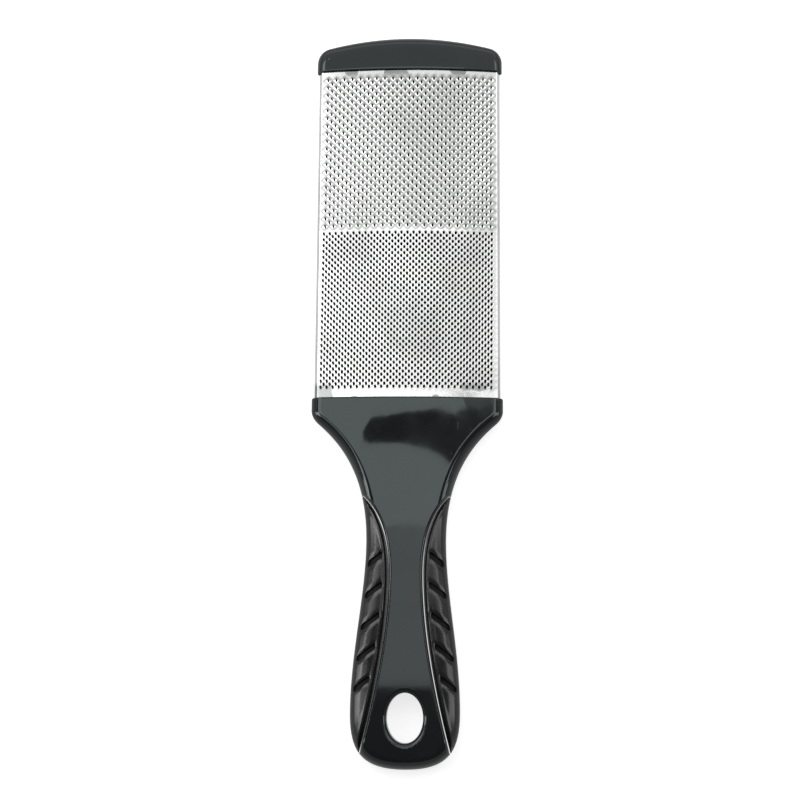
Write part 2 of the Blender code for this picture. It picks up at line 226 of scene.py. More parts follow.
@dataclass(frozen=True)
class GripSizes:
    """One soft grip, its lip against the spine and its slanted recesses.

    `shallow` is the share of a recess's depth that the skin's height passes before the recess
    starts to show, so that none cuts through the grip's low outer side.
    """

    foot: float = 5.15
    top: float = 85.0
    height: float = 4.6
    rounding: float = 7.0
    groove_depth: float = 0.9
    groove_floor: float = 0.45
    lip_round: float = 0.35
    lip_share: float = 0.4
    bead: float = 0.12
    bead_width: float = 0.42
    end_round: float = 0.4
    slot_count: int = 5
    slot_first: float = 26.5
    slot_pitch: float = 9.7
    slot_width: float = 1.6
    slot_depth: float = 1.3
    slot_wall: float = 0.30
    slot_slope: float = math.radians(35.5)
    shallow: float = 0.4
    inner_margin: float = 2.1
    outer_margin: float = 0.9
    pillow: float = 0.16
    pillow_reach: float = 0.65
    shear_fade: float = 12.0


@dataclass(frozen=True)
class FieldSizes:
    """One field of etched teeth: a lattice of half pitches with a hole at every second crossing.

    A tooth is a low mound round its hole: `rise` is its height and `reach` its radius in half
    pitches. `etch` says how dull the etched ground between the teeth is.
    """

    station: float
    half_pitch: Pair
    columns: int
    rows: tuple[int, int]
    parity: int
    hole: Pair
    rise: float
    reach: float
    etch: float
    parts: int


@dataclass(frozen=True)
class SheetSizes:
    """Where a sheet's fields lie, how they lean, and how their holes lean towards both sides."""

    lean: float = 0.0049
    lean_start: float = -0.07
    lean_station: float = 195.2
    hole_lean: float = 0.22
    coarse: FieldSizes = FieldSizes(
        station=195.23, half_pitch=(1.3567, 1.3262), columns=20, rows=(-16, 22), parity=0,
        hole=(0.25, 0.62), rise=0.17, reach=0.95, etch=1.0, parts=3,
    )
    fine: FieldSizes = FieldSizes(
        station=145.02, half_pitch=(0.9831, 0.9823), columns=28, rows=(-25, 27), parity=1,
        hole=(0.43, 0.60), rise=0.09, reach=0.95, etch=0.55, parts=2,
    )


@dataclass(frozen=True)
class CapSizes:
    """The end cap's outline and roundings."""

    arc_radius: float = 112.0
    corner: float = 5.4
    set_back: float = 0.6
    nose: float = 6.0
    nose_power: float = 2.4
    side_round: float = 3.3
    rim_round: float = 0.4
    pocket_power: float = 0.6


# Curves and surfaces

def cubic(start: Sequence[float], end: Sequence[float], shares: Shares, steps: int) -> np.ndarray:
    """Points of a cubic curve whose handles lie at shares of the way from start to end.

    Args:
        start: First point of the stretch, as half width and station.
        end: Last point.
        shares: Two pairs of shares, one for each handle.
        steps: How many equal steps of the curve's own parameter.

    Returns:
        An array of (half width, station), both ends included.
    """
    a, b = np.array(start, float), np.array(end, float)
    first, second = (a + (b - a) * np.array(share) for share in shares)
    t = np.linspace(0, 1, steps + 1)[:, None]
    return (1 - t) ** 3 * a + 3 * (1 - t) ** 2 * t * first + 3 * (1 - t) * t ** 2 * second + t ** 3 * b


def smooth(t: np.ndarray) -> np.ndarray:
    """The smooth step 3t^2 - 2t^3, held at 0 and 1 outside."""
    t = np.clip(t, 0, 1)
    return t * t * (3 - 2 * t)


def quarter_round(share: np.ndarray) -> np.ndarray:
    """Height of a quarter circle over a share of its radius from the rim: sqrt(1 - (1 - s)^2)."""
    return np.sqrt(1 - (1 - np.clip(share, 0, 1)) ** 2)


def points_at(x: np.ndarray, y: np.ndarray, z: np.ndarray) -> np.ndarray:
    """Coordinates spread over each other and stacked as points."""
    return np.stack(np.broadcast_arrays(x, y, z), axis=-1)


def grid_faces(index: np.ndarray) -> np.ndarray:
    """Faces over a grid of point indexes, which face row direction x column direction."""
    quads = np.stack([index[:-1, :-1], index[1:, :-1], index[1:, 1:], index[:-1, 1:]], axis=-1)
    return quads.reshape(-1, 4)


class PlanCurve:
    """The right half of a plan outline, as half width over station."""

    batch = 1500
    nudge = 1e-9
    least_square = 1e-12

    def __init__(self, points: np.ndarray) -> None:
        """Takes the outline's points, as (half width, station) by rising station."""
        self.points = points
        self.station = points[:, 1]
        self.slope_at = np.gradient(points[:, 0], points[:, 1] + np.arange(len(points)) * self.nudge)

    def half_width(self, station: np.ndarray) -> np.ndarray:
        """Half width at each station."""
        return np.interp(station, self.station, self.points[:, 0])

    def slope(self, station: np.ndarray) -> np.ndarray:
        """Change of the half width with the station."""
        return np.interp(station, self.station, self.slope_at)

    def depth(self, x: np.ndarray, y: np.ndarray) -> np.ndarray:
        """Distance from each point to the nearest stretch of the curve.

        Each point is dropped onto every stretch: t = (p - a).(b - a) / |b - a|^2, held to 0..1, and
        the nearest foot a + t (b - a) gives the distance. Batches of points keep the arrays small.

        Args:
            x: Places across, none negative.
            y: Stations, of the same shape.

        Returns:
            The distances, of that shape too.
        """
        a, run = self.points[:-1], np.diff(self.points, axis=0)
        square = np.maximum((run ** 2).sum(1), self.least_square)
        flat = np.stack([x.ravel(), y.ravel()], axis=1)
        found = []
        for part in np.array_split(flat, max(1, len(flat) // self.batch)):
            away = part[:, None] - a
            t = np.clip((away * run).sum(2) / square, 0, 1)
            found.append(np.sqrt(((away - t[..., None] * run) ** 2).sum(2).min(1)))
        return np.concatenate(found).reshape(x.shape)


def handle_curve(tool: ToolSizes, sizes: OutlineSizes = OutlineSizes(), steps: int = 110) -> PlanCurve:
    """The handle's outline from its end to the socket's mouth."""
    shoulder = (tool.socket_half, sizes.shoulder)
    return PlanCurve(np.concatenate([
        cubic((0, 0), sizes.hip, sizes.nose_shares, steps)[:-1],
        cubic(sizes.hip, sizes.neck, sizes.hip_shares, steps)[:-1],
        cubic(sizes.neck, sizes.flare, sizes.flare_shares, steps)[:-1],
        cubic(sizes.flare, shoulder, sizes.shoulder_shares, steps // 4),
        [(tool.socket_half, tool.mouth)],
    ]))


def edge_curve(sizes: EdgeLineSizes = EdgeLineSizes(), steps: int = 120) -> PlanCurve:
    """The line between the spine and a grip, from its foot to its top."""
    lower = cubic(sizes.waist, sizes.foot, sizes.foot_shares, steps)[::-1]
    upper = cubic(sizes.waist, sizes.top, sizes.top_shares, steps)
    return PlanCurve(np.concatenate([lower, upper[1:]]))


class Shape:
    """Points in drawing millimetres, four-cornered faces, and named point marks between 0 and 1.

    A triangle repeats its last corner.
    """

    def __init__(self, points: np.ndarray, faces: np.ndarray, marks: Marks | None = None) -> None:
        """Takes points of n by 3, faces of m by 4 point indexes, and marks of n values each."""
        self.points = points
        self.faces = faces
        self.marks = marks or {}

    @classmethod
    def grid(cls, rows: np.ndarray, marks: Marks | None = None, turned: bool = False) -> "Shape":
        """A skin through an array of rows by columns by 3, which faces row direction x column direction.

        Args:
            rows: The points.
            marks: Point marks, each of rows by columns.
            turned: True turns every face round.

        Returns:
            The shape, with coincident points still apart.
        """
        high, wide = rows.shape[:2]
        quads = grid_faces(np.arange(high * wide).reshape(high, wide))
        flat = {name: np.broadcast_to(mark, (high, wide)).ravel() for name, mark in (marks or {}).items()}
        return cls(rows.reshape(-1, 3), quads[:, ::-1] if turned else quads, flat)

    def flipped(self, axis: int) -> "Shape":
        """The mirror image across the plane where that axis is zero."""
        flip = np.ones(3)
        flip[axis] = -1
        return Shape(self.points * flip, self.faces[:, ::-1], self.marks)

    def mirrored(self, axis: int) -> "Shape":
        """This shape and its mirror image."""
        return joined([self, self.flipped(axis)])

    def welded(self) -> "Shape":
        """Coincident points made one, and the faces that collapsed dropped."""
        keys = np.round(self.points / WELD_MM + WELD_SHIFT).astype(np.int64)
        _, first, index = np.unique(keys, axis=0, return_index=True, return_inverse=True)
        faces = index.reshape(-1)[self.faces]
        whole = (faces != np.roll(faces, -1, axis=1)).sum(1) >= 3
        marks = {name: mark[first] for name, mark in self.marks.items()}
        return Shape(self.points[first], faces[whole], marks)

    def mesh(self, name: str, sharp: float) -> bpy.types.Mesh:
        """A Blender mesh in the row frame, smooth but for edges sharper than an angle.

        Args:
            name: The mesh's name.
            sharp: Angle in radians past which an edge stays crisp.

        Returns:
            The mesh, with each mark as a point attribute.
        """
        used = self.faces != np.roll(self.faces, -1, axis=1)
        starts = np.concatenate([[0], np.cumsum(used.sum(1))[:-1]])
        corners = self.faces[used]
        mesh = bpy.data.meshes.new(name)
        mesh.vertices.add(len(self.points))
        mesh.loops.add(len(corners))
        mesh.polygons.add(len(self.faces))
        mesh.vertices.foreach_set("co", to_row(self.points).astype(np.float32).ravel())
        mesh.loops.foreach_set("vertex_index", corners.astype(np.int32))
        mesh.polygons.foreach_set("loop_start", starts.astype(np.int32))
        mesh.update(calc_edges=True)
        mesh.validate()
        for label, mark in self.marks.items():
            layer = mesh.attributes.new(label, "FLOAT", "POINT")
            layer.data.foreach_set("value", mark.astype(np.float32))
        mesh.shade_smooth()
        mesh.set_sharp_from_angle(angle=sharp)
        return mesh


def joined(shapes: Sequence[Shape]) -> Shape:
    """Several shapes with the same marks as one."""
    counts = np.cumsum([0] + [len(shape.points) for shape in shapes[:-1]])
    return Shape(
        np.concatenate([shape.points for shape in shapes]),
        np.concatenate([shape.faces + start for shape, start in zip(shapes, counts)]),
        {name: np.concatenate([shape.marks[name] for shape in shapes]) for name in shapes[0].marks},
    )


def to_row(points: np.ndarray) -> np.ndarray:
    """Drawing millimetres as metres in the row frame."""
    return (points + (0, -TOOL.length / 2, TOOL.half)) * MM


def add_object(name: str, data: Any) -> bpy.types.Object:
    """A new object in the scene's own collection."""
    obj = bpy.data.objects.new(name, data)
    bpy.context.scene.collection.objects.link(obj)
    return obj


TOOL = ToolSizes.from_frame()
OUTLINE = handle_curve(TOOL)
LINE = edge_curve()


# Pieces

class Piece:
    """A visible piece: it knows its name, its CAD nodes and its material slot, and makes its own shape."""

    name: str = ""
    nodes: tuple[str, ...] = ()
    slot: Slot = Slot.GLOSS
    sharp: float = math.radians(38)

    def shape(self) -> Shape:
        """The piece's whole surface."""
        raise NotImplementedError

    def build(self, material: bpy.types.Material) -> bpy.types.Object:
        """Makes the object, hangs it on the tool's one body and lets it stand for its CAD nodes."""
        obj = add_object(self.name, self.shape().mesh(self.name, self.sharp))
        obj.data.materials.append(material)
        self.finish_shape(obj)
        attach(obj, "root")
        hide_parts(*self.nodes)
        LOG.info("%s: %d points, %d faces", self.name, len(obj.data.vertices), len(obj.data.polygons))
        return obj

    def finish_shape(self, obj: bpy.types.Object) -> None:
        """A last cut, where a piece needs one."""


class HandleBody(Piece):
    """The moulded handle: hanging end, spine between the grips, neck and the socket that takes the head."""

    name = "handle_body_visual"
    nodes = ("handle_body",)
    side_columns = 20
    face_columns = 46
    fillet_columns = 10
    nose_count = 34
    spine_count = 170
    neck_count = 74
    mouth_count = 7
    rim_count = 12
    bore_count = 129

    def __init__(self, sizes: HandleSizes = HandleSizes()) -> None:
        """Takes the handle's sizes and finds the two ends of the edge line."""
        self.sizes = sizes
        self.line_low = float(LINE.station[0])
        self.line_high = float(LINE.station[-1])

    def crown_share(self, y: np.ndarray) -> np.ndarray:
        """How much of the head's crown the handle has: none on the spine, all at the mouth."""
        share = (y - self.sizes.crown_start) / (TOOL.mouth - self.sizes.crown_start)
        return np.clip(share, 0, 1) ** self.sizes.crown_power

    def edge_round(self, y: np.ndarray) -> np.ndarray:
        """Radius of the side rounding, which passes to the head's with the crown."""
        return self.sizes.edge_round + (self.sizes.head_round - self.sizes.edge_round) * self.crown_share(y)

    def height(self, x: np.ndarray, y: np.ndarray) -> np.ndarray:
        """Height of the skin: the crowned face times a quarter round over the distance to the outline."""
        x, y = np.broadcast_arrays(x, y)
        rounding = quarter_round(OUTLINE.depth(x, y) / self.edge_round(y))
        return (TOOL.half - self.crown_share(y) * TOOL.sag(x)) * rounding

    def flat_edge(self, y: np.ndarray) -> np.ndarray:
        """Half width at which the side rounding starts: W - edge sqrt(1 + W'^2), never negative."""
        lean = np.sqrt(1 + OUTLINE.slope(y) ** 2)
        return np.maximum(0, OUTLINE.half_width(y) - self.edge_round(y) * lean)

    def split(self, y: np.ndarray) -> np.ndarray:
        """Where side columns meet face columns, as a share of the rounding's width.

        At both ends of the edge line it is where the spine's own edge starts, so that the rows on
        either side of the step share their face columns.
        """
        ends = np.array([self.line_low, self.line_high])
        inner = LINE.half_width(ends) - self.sizes.lip_round
        flat = self.flat_edge(ends)
        low, high = (inner - flat) / (OUTLINE.half_width(ends) - flat)
        above = high * (1 - smooth((y - self.line_high) / self.sizes.settle))
        return np.where(y <= self.line_low, low, above)

    def face_shares(self) -> np.ndarray:
        """Places of the face columns as shares of the face's half width, closest at its edge."""
        return np.cos(np.linspace(0, math.pi / 2, self.face_columns + 1)[1:]).clip(0)

    def full_rows(self, y: np.ndarray) -> np.ndarray:
        """Sections that reach the outline."""
        y = y[:, None]
        wide, flat = OUTLINE.half_width(y), self.flat_edge(y)
        turn = np.arccos(self.split(y)) * np.linspace(0, 1, self.side_columns)
        side = flat + (wide - flat) * np.cos(turn)
        x = np.concatenate([side, side[:, -1:] * self.face_shares()], axis=1)
        return points_at(x, y, self.height(x, y))

    def spine_rows(self, y: np.ndarray) -> np.ndarray:
        """Sections that stop at the edge line: a wall, a small round, and the spine's face."""
        y = y[:, None]
        line, lip = LINE.half_width(y), self.sizes.lip_round
        turn = np.linspace(math.pi / 2, 0, self.fillet_columns)
        fillet_x = line - lip + lip * np.sin(turn)
        fillet_z = self.height(fillet_x, y) - lip * (1 - np.cos(turn))
        wall = np.linspace(0, 1, self.side_columns - self.fillet_columns, endpoint=False)
        face_x = (line - lip) * self.face_shares()
        x = np.concatenate([line + 0 * wall, fillet_x, face_x], axis=1)
        z = np.concatenate([fillet_z[:, :1] * wall, fillet_z, self.height(face_x, y)], axis=1)
        return points_at(x, y, z)

    def mouth_rows(self) -> np.ndarray:
        """The small round at the socket's mouth: both width and height draw in as 1 - cos."""
        radius = self.sizes.mouth_round
        turn = np.linspace(0, math.pi / 2, self.mouth_count)[:, None]
        base = self.full_rows(np.full(self.mouth_count, TOOL.mouth - radius))
        drop = radius * (1 - np.cos(turn))
        base[..., 0] *= 1 - drop / TOOL.socket_half
        base[..., 1] += radius * np.sin(turn)
        base[..., 2] *= 1 - drop / TOOL.half
        return base

    def hollow_rows(
        self, side: Sequence[Pair], crown: float, sagging: bool, stations: Sequence[float],
    ) -> np.ndarray:
        """Rows of a hollow's section at several stations.

        Args:
            side: Corners of the section from the middle plane up to the face, as (x, z).
            crown: Height of the section's middle.
            sagging: Whether the section's face follows the head's crown.
            stations: Where the rows lie.

        Returns:
            Rows with the handle's own columns.
        """
        corners = np.array(side)
        share = np.linspace(0, 1, self.side_columns) * (len(corners) - 1)
        x, z = (np.interp(share, np.arange(len(corners)), corners[:, k]) for k in (0, 1))
        face_x = corners[-1, 0] * self.face_shares()
        face_z = crown - TOOL.sag(face_x) if sagging else np.full_like(face_x, crown)
        x, z = np.concatenate([x, face_x]), np.concatenate([z, face_z])
        return points_at(x, np.array(stations)[:, None], z)

    def shape(self) -> Shape:
        """Nose, step, spine, step, neck, mouth, then the pocket and the tang's slot inside."""
        low, high, mouth = self.line_low, self.line_high, TOOL.mouth - self.sizes.mouth_round
        nose = self.full_rows(low * np.linspace(0, 1, self.nose_count) ** 2)
        spine = self.spine_rows(np.linspace(low, high, self.spine_count))
        neck = self.full_rows(np.linspace(high, mouth, self.neck_count)[:-1])
        crown, corner = TOOL.sheet_crown + TOOL.gap, TOOL.fold + TOOL.gap
        side = [
            (TOOL.sheet_half + TOOL.gap, 0),
            (corner, float(crown - TOOL.sag(corner)) - TOOL.gap),
            (TOOL.crown_edge, float(crown - TOOL.sag(TOOL.crown_edge))),
        ]
        floor = TOOL.sheet_foot - TOOL.gap
        pocket = self.hollow_rows(side, crown, True, [TOOL.mouth, floor])
        slot_x, slot_z = TOOL.tang_half + TOOL.gap, TOOL.tang_height + TOOL.gap
        side = [(slot_x, 0), (slot_x, slot_z)]
        slot = self.hollow_rows(side, slot_z, False, [floor, floor - TOOL.tang_length])
        end = slot[-1:] * (1, 1, 0)
        rows = np.concatenate([nose, spine, neck, self.mouth_rows(), pocket, slot, end])
        return Shape.grid(rows).mirrored(0).mirrored(2).welded()

    def finish_shape(self, obj: bpy.types.Object) -> None:
        """Cuts the hanging hole with an oval bore that flares to a rounded rim at both faces."""
        sizes, rim = self.sizes, self.sizes.hole_rim
        turn = np.linspace(0, sizes.hole_rim_end, self.rim_count)
        out = rim * (1 - np.cos(turn))
        up = TOOL.half - rim + rim * np.sin(turn)
        far = out[-1] + rim * math.sin(turn[-1])
        out = np.append(out, [far, far])
        up = np.append(up, [up[-1] + rim * math.cos(turn[-1]), TOOL.half + rim])
        out, up = np.concatenate([out[::-1], out]), np.concatenate([-up[::-1], up])
        around = np.linspace(0, 2 * math.pi, self.bore_count)[:, None]
        x = (sizes.hole_half_width + out) * np.cos(around)
        y = sizes.hole_station + (sizes.hole_half_length + out) * np.sin(around)
        rows = points_at(x, y, up)
        first, last = (
            np.broadcast_to((0, sizes.hole_station, z), rows[:, :1].shape) for z in (up[0], up[-1])
        )
        bore = Shape.grid(np.concatenate([first, rows, last], axis=1)).welded()
        cut_by(obj, bore.mesh("hanging_hole_cutter", self.sharp), self.sharp)


def cut_by(obj: bpy.types.Object, cutter_mesh: bpy.types.Mesh, sharp: float) -> None:
    """Takes a closed mesh out of an object and keeps the result as the object's own mesh."""
    cutter = add_object(cutter_mesh.name, cutter_mesh)
    boolean = obj.modifiers.new("cut", "BOOLEAN")
    boolean.operation = "DIFFERENCE"
    boolean.solver = "EXACT"
    boolean.object = cutter
    graph = bpy.context.evaluated_depsgraph_get()
    whole = bpy.data.meshes.new_from_object(obj.evaluated_get(graph))
    obj.modifiers.clear()
    old, obj.data = obj.data, whole
    bpy.data.objects.remove(cutter)
    for mesh in (cutter_mesh, old):
        bpy.data.meshes.remove(mesh)
    whole.shade_smooth()
    whole.set_sharp_from_angle(angle=sharp)


class Grip(Piece):
    """A soft grip in its bed: lip and groove against the spine, slanted recesses on both faces."""

    slot = Slot.SATIN
    wall_columns = 4
    lip_columns = 8
    skin_columns = 52
    skin_crowding = 1.4
    slot_rows = 33
    slot_reach = 1.15
    even_rows = 170
    end_rows = 7
    rounds = 9

    def __init__(self, side: Side, sizes: GripSizes = GripSizes()) -> None:
        """Takes the side and the sizes, and places the recesses."""
        self.side = side
        self.sizes = sizes
        self.name = f"grip_{side.name.lower()}_visual"
        self.nodes = (f"grip_{side.name.lower()}",)
        self.slots = sizes.slot_first + sizes.slot_pitch * np.arange(sizes.slot_count)

    def row_stations(self) -> np.ndarray:
        """Stations of the rows at the grip's middle: closer where a recess has its walls."""
        sizes = self.sizes
        reach = (sizes.slot_width + sizes.slot_wall) / 2 / math.cos(sizes.slot_slope) * self.slot_reach
        close = (self.slots[:, None] + np.linspace(-reach, reach, self.slot_rows)).ravel()
        even = np.linspace(sizes.foot + sizes.end_round, sizes.top - sizes.end_round, self.even_rows)
        away = np.abs(even[:, None] - self.slots).min(1) > reach
        ease = sizes.end_round * (1 - np.cos(np.linspace(0, math.pi / 2, self.end_rows)[:-1]))
        return np.sort(np.concatenate([close, even[away], sizes.foot + ease, sizes.top - ease]))

    def columns(self, inner: np.ndarray, outer: np.ndarray) -> tuple[np.ndarray, np.ndarray]:
        """Places and heights across a grip, from the foot of its inner wall to its outline.

        The skin is an ellipse quarter, x = W - r + r sin a and z = h cos a. Its inner end drops by a
        small round and a short slope into the groove.

        Args:
            inner: Half width of the inner wall.
            outer: Half width of the outline.

        Returns:
            x and z, of rows by columns.
        """
        sizes = self.sizes
        wall = np.linspace(0, 1, self.wall_columns, endpoint=False)
        share = np.linspace(0, 1, self.lip_columns, endpoint=False)
        skin = np.linspace(0, 1, self.skin_columns) ** self.skin_crowding
        up = np.concatenate([wall, np.ones(self.lip_columns + self.skin_columns)])
        over = np.concatenate([0 * wall, share, np.ones(self.skin_columns)])
        out = np.concatenate([0 * wall, 0 * share, skin])
        inner, outer = (np.broadcast_to(edge, (len(edge), len(up))) for edge in (inner, outer))
        whole_lip = sizes.groove_floor + 2 * sizes.lip_round
        lip = np.minimum(whole_lip, sizes.lip_share * (outer - inner))
        low = np.arcsin(np.clip((inner + lip - outer + sizes.rounding) / sizes.rounding, 0, 1))
        turn = low + (math.pi / 2 - low) * out
        x = np.where(over < 1, inner + lip * over, outer - sizes.rounding * (1 - np.sin(turn)))
        rise = smooth((over * lip - sizes.groove_floor) / (lip - sizes.groove_floor).clip(WELD_MM))
        from_bead = (x - inner - lip) / sizes.bead_width - 1
        bead = sizes.bead * (lip / whole_lip) ** 2 * np.exp(-(from_bead ** 2))
        return x, up * (sizes.height * np.cos(turn) - sizes.groove_depth * (1 - rise) + bead)

    def recess(self, x: np.ndarray, t: np.ndarray) -> tuple[np.ndarray, np.ndarray]:
        """How deep each point lies in a recess, and how near it is to one.

        A recess is a slot with round ends: d = sqrt(p^2 + max(0, |q| - run)^2), with p across it and
        q along it, and its wall a smooth step over d.

        Args:
            x: Places across, of rows by columns.
            t: Row stations, of rows by 1.

        Returns:
            Depth as a share, and nearness as a share, both of rows by columns.
        """
        sizes, slots = self.sizes, self.slots
        inner = LINE.half_width(slots) + sizes.inner_margin
        outer = OUTLINE.half_width(slots) - sizes.outer_margin
        run = (outer - inner) / 2 / math.cos(sizes.slot_slope) - sizes.slot_width / 2
        across = (t[..., None] - slots) * math.cos(sizes.slot_slope)
        along = (x[..., None] - (inner + outer) / 2) / math.cos(sizes.slot_slope)
        past = np.maximum(0, np.abs(along) - run)
        away = np.sqrt(across ** 2 + past ** 2).min(-1)
        deep = smooth((sizes.slot_width / 2 + sizes.slot_wall / 2 - away) / sizes.slot_wall)
        past_edge = np.maximum(0, away - sizes.slot_width / 2)
        return deep, np.exp(-((past_edge / sizes.pillow_reach) ** 2))

    def shape(self) -> Shape:
        """Rows that run parallel to the recesses between straight ends.

        A row's station falls with x, y = t - tan(slope) fade(t) (x - middle(t)), which a few rounds
        of substitution solve because x itself follows y along the two edges.
        """
        sizes = self.sizes
        t = self.row_stations()[:, None]
        middle = (LINE.half_width(t) + TOOL.gap + OUTLINE.half_width(t)) / 2
        fade = smooth((t - sizes.foot) / sizes.shear_fade) * smooth((sizes.top - t) / sizes.shear_fade)
        y = t
        for _ in range(self.rounds):
            x, z = self.columns(LINE.half_width(y) + TOOL.gap, OUTLINE.half_width(y))
            y = t - math.tan(sizes.slot_slope) * fade * (x - middle)
        deep, near = self.recess(x, t)
        on_skin = np.arange(x.shape[1]) >= self.wall_columns + self.lip_columns
        fall = sizes.slot_depth * deep + sizes.pillow * near * (1 - deep)
        z = np.maximum(z - fall * on_skin * np.clip(z / sizes.slot_depth - sizes.shallow, 0, 1), 0)
        end = quarter_round((t - sizes.foot) / sizes.end_round)
        end = end * quarter_round((sizes.top - t) / sizes.end_round)
        z = z - sizes.end_round * (1 - end) * np.clip(z, 0, 1)
        rows = points_at(x, y, z)
        rows = np.concatenate([rows[:1] * (1, 1, 0), rows, rows[-1:] * (1, 1, 0)])
        deep = np.concatenate([deep[:1], deep * on_skin, deep[-1:]])
        whole = Shape.grid(rows, {"recess": deep}, turned=True).mirrored(2).welded()
        return whole if self.side is Side.RIGHT else whole.flipped(0)


class ToothField:
    """One field of etched teeth on the crown: low mounds round small oval holes.

    Every mound fills a cell, the diamond between its four neighbours. Its rings run from the hole's
    wall down the mound to the valley that it shares with the next one. Half cells without a hole
    fill the zigzag border, so that the field ends in straight rows of points.
    """

    rings = 1
    brim_share = 0.82
    # Painted highlight on each tooth's lower half: where it ends, how it fades, and how much reaches the
    # brim.
    highlight_top = 0.65
    highlight_fade = 0.6
    brim_highlight = 0.12
    # Painted shade on the hole wall's foot ring and its edge ring.
    wall_shade = (1.0, 0.9)
    border_slack = 0.01

    def __init__(self, sizes: FieldSizes, sheet: SheetSizes) -> None:
        """Takes the field's sizes and its sheet's, and builds the field."""
        self.sizes = sizes
        self.sheet = sheet
        self.last = sizes.columns + 1
        self.low, self.high = sizes.rows[0] - 1, sizes.rows[1] + 1
        self.keys, self.shape = self._build()

    def centres(self, columns: int, low: int, high: int) -> np.ndarray:
        """Lattice places that have the holes' parity, as (column, row)."""
        i, j = np.meshgrid(np.arange(-columns, columns + 1), np.arange(low, high + 1), indexing="ij")
        even = (i + j) % 2 == self.sizes.parity
        return np.stack([i[even], j[even]], axis=1)

    def ring(self) -> np.ndarray:
        """A cell's outline in equal parts of a half pitch, as whole numbers, once round."""
        parts = self.sizes.parts
        corners = np.array([(parts, 0), (0, parts), (-parts, 0), (0, -parts)])
        steps = np.arange(parts)[None, :, None]
        path = corners[:, None] + (np.roll(corners, -1, axis=0) - corners)[:, None] // parts * steps
        return path.reshape(-1, 2)

    def place(self, lattice: np.ndarray, lift: np.ndarray) -> np.ndarray:
        """Points at lattice places, lifted off the crown."""
        edge, step = TOOL.crown_edge, self.sizes.half_pitch
        x, y = lattice[..., 0] * step[0], self.sizes.station + lattice[..., 1] * step[1]
        x = x + self.sheet.lean_start + self.sheet.lean * (y - self.sheet.lean_station)
        outside = np.abs(lattice[..., 0]) > self.last - self.border_slack
        x = np.where(outside, np.sign(lattice[..., 0]) * edge, np.clip(x, -edge, edge))
        return points_at(x, y, TOOL.sheet_height(x) + lift)

    def mound(self, away: np.ndarray) -> np.ndarray:
        """Height of a mound at a distance from its middle, in half pitches: H (1 - (q / R)^2)^2."""
        return self.sizes.rise * np.clip(1 - (away / self.sizes.reach) ** 2, 0, None) ** 2

    def _build(self) -> tuple[np.ndarray, Shape]:
        """The whole numbers that name the valley's points, and the field's shape, valley first."""
        sizes, parts, ring = self.sizes, self.sizes.parts, self.ring()
        holes = self.centres(sizes.columns, *sizes.rows)
        every = self.centres(self.last, self.low, self.high)
        on_border = (np.abs(every[:, 0]) == self.last) | np.isin(every[:, 1], (self.low, self.high))
        fillers = every[on_border]
        rim_keys, fan_keys = ((parts * cells[:, None] + ring).reshape(-1, 2) for cells in (holes, fillers))
        all_keys = np.concatenate([rim_keys, fan_keys, parts * fillers])
        in_cell = np.arange(len(all_keys)) < len(rim_keys)
        lift = np.zeros(len(all_keys))
        lift[in_cell] = np.tile(self.mound(np.hypot(*(ring / parts).T)), len(holes))
        keys, first, index = np.unique(all_keys, axis=0, return_index=True, return_inverse=True)
        ends = np.cumsum([len(rim_keys), len(fan_keys)])
        rim, fan, middle = (part.reshape(-1, width) for part, width in zip(
            np.split(index.reshape(-1), ends), (len(ring), len(ring), 1)))

        valley = self.place(keys / parts, lift[first])
        rings, etched, hole_shade = self._mound_rings(holes, ring / parts)
        inner = len(valley) + np.arange(rings.size // 3).reshape(rings.shape[:3])
        loops = np.concatenate([inner, rim[None]])
        around = np.roll(loops, -1, axis=2)
        quads = np.stack([loops[:-1], loops[1:], around[1:], around[:-1]], axis=-1)
        after = np.roll(fan, -1, axis=1)
        triangles = np.stack([np.broadcast_to(middle, fan.shape), fan, after, after], axis=-1)
        inside = self._inside(keys[fan]) & self._inside(keys[after])
        return keys, Shape(
            np.concatenate([valley, rings.reshape(-1, 3)]),
            np.concatenate([quads.reshape(-1, 4), triangles[inside]]),
            {
                "etched": np.concatenate([
                    in_cell[first] * sizes.etch, np.tile(etched, (1, len(holes))).ravel(),
                ]),
                # This mark places the painted shade on the hole walls.
                "hole_shade": np.concatenate([np.zeros(len(valley)), np.repeat(hole_shade, rim.size)]),
            },
        )

    def _inside(self, keys: np.ndarray) -> np.ndarray:
        """Whether keys lie in the field's rectangle."""
        parts = self.sizes.parts
        across = np.abs(keys[..., 0]) <= parts * self.last
        return across & (keys[..., 1] >= parts * self.low) & (keys[..., 1] <= parts * self.high)

    def _mound_rings(self, holes: np.ndarray, rim: np.ndarray) -> tuple[np.ndarray, np.ndarray, list[float]]:
        """Rings of points from the foot of each hole's wall to just inside its valley.

        Args:
            holes: Lattice places of the holes.
            rim: Offsets of a cell's outline from its centre, in half pitches.

        Returns:
            Rings by holes by points by 3, how etched each ring's points are, and how much painted shade
            each ring takes on the hole walls. The lower half of a tooth keeps the bare colour as a painted
            highlight.
        """
        sizes, step = self.sizes, np.array(self.sizes.half_pitch)
        angle = np.arctan2(rim[:, 1] * step[1], rim[:, 0] * step[0])
        oval = np.stack([sizes.hole[0] * np.cos(angle), sizes.hole[1] * np.sin(angle)], axis=1) / step
        lean = self.sheet.hole_lean * holes[:, 0] / sizes.columns
        oval = np.repeat(oval[None], len(holes), axis=0)
        oval[..., 0] += lean[:, None] * oval[..., 1] * step[1] / step[0]
        brim = rim * self.brim_share
        rings = []
        for share in np.linspace(0, 1, self.rings + 2):
            offset = oval * (1 - share) + brim * share
            lift = self.mound(np.hypot(offset[..., 0], offset[..., 1]))
            rings.append(self.place(holes[:, None] + offset, lift))
        rings = [rings[0] - (0, 0, TOOL.gauge), *rings]
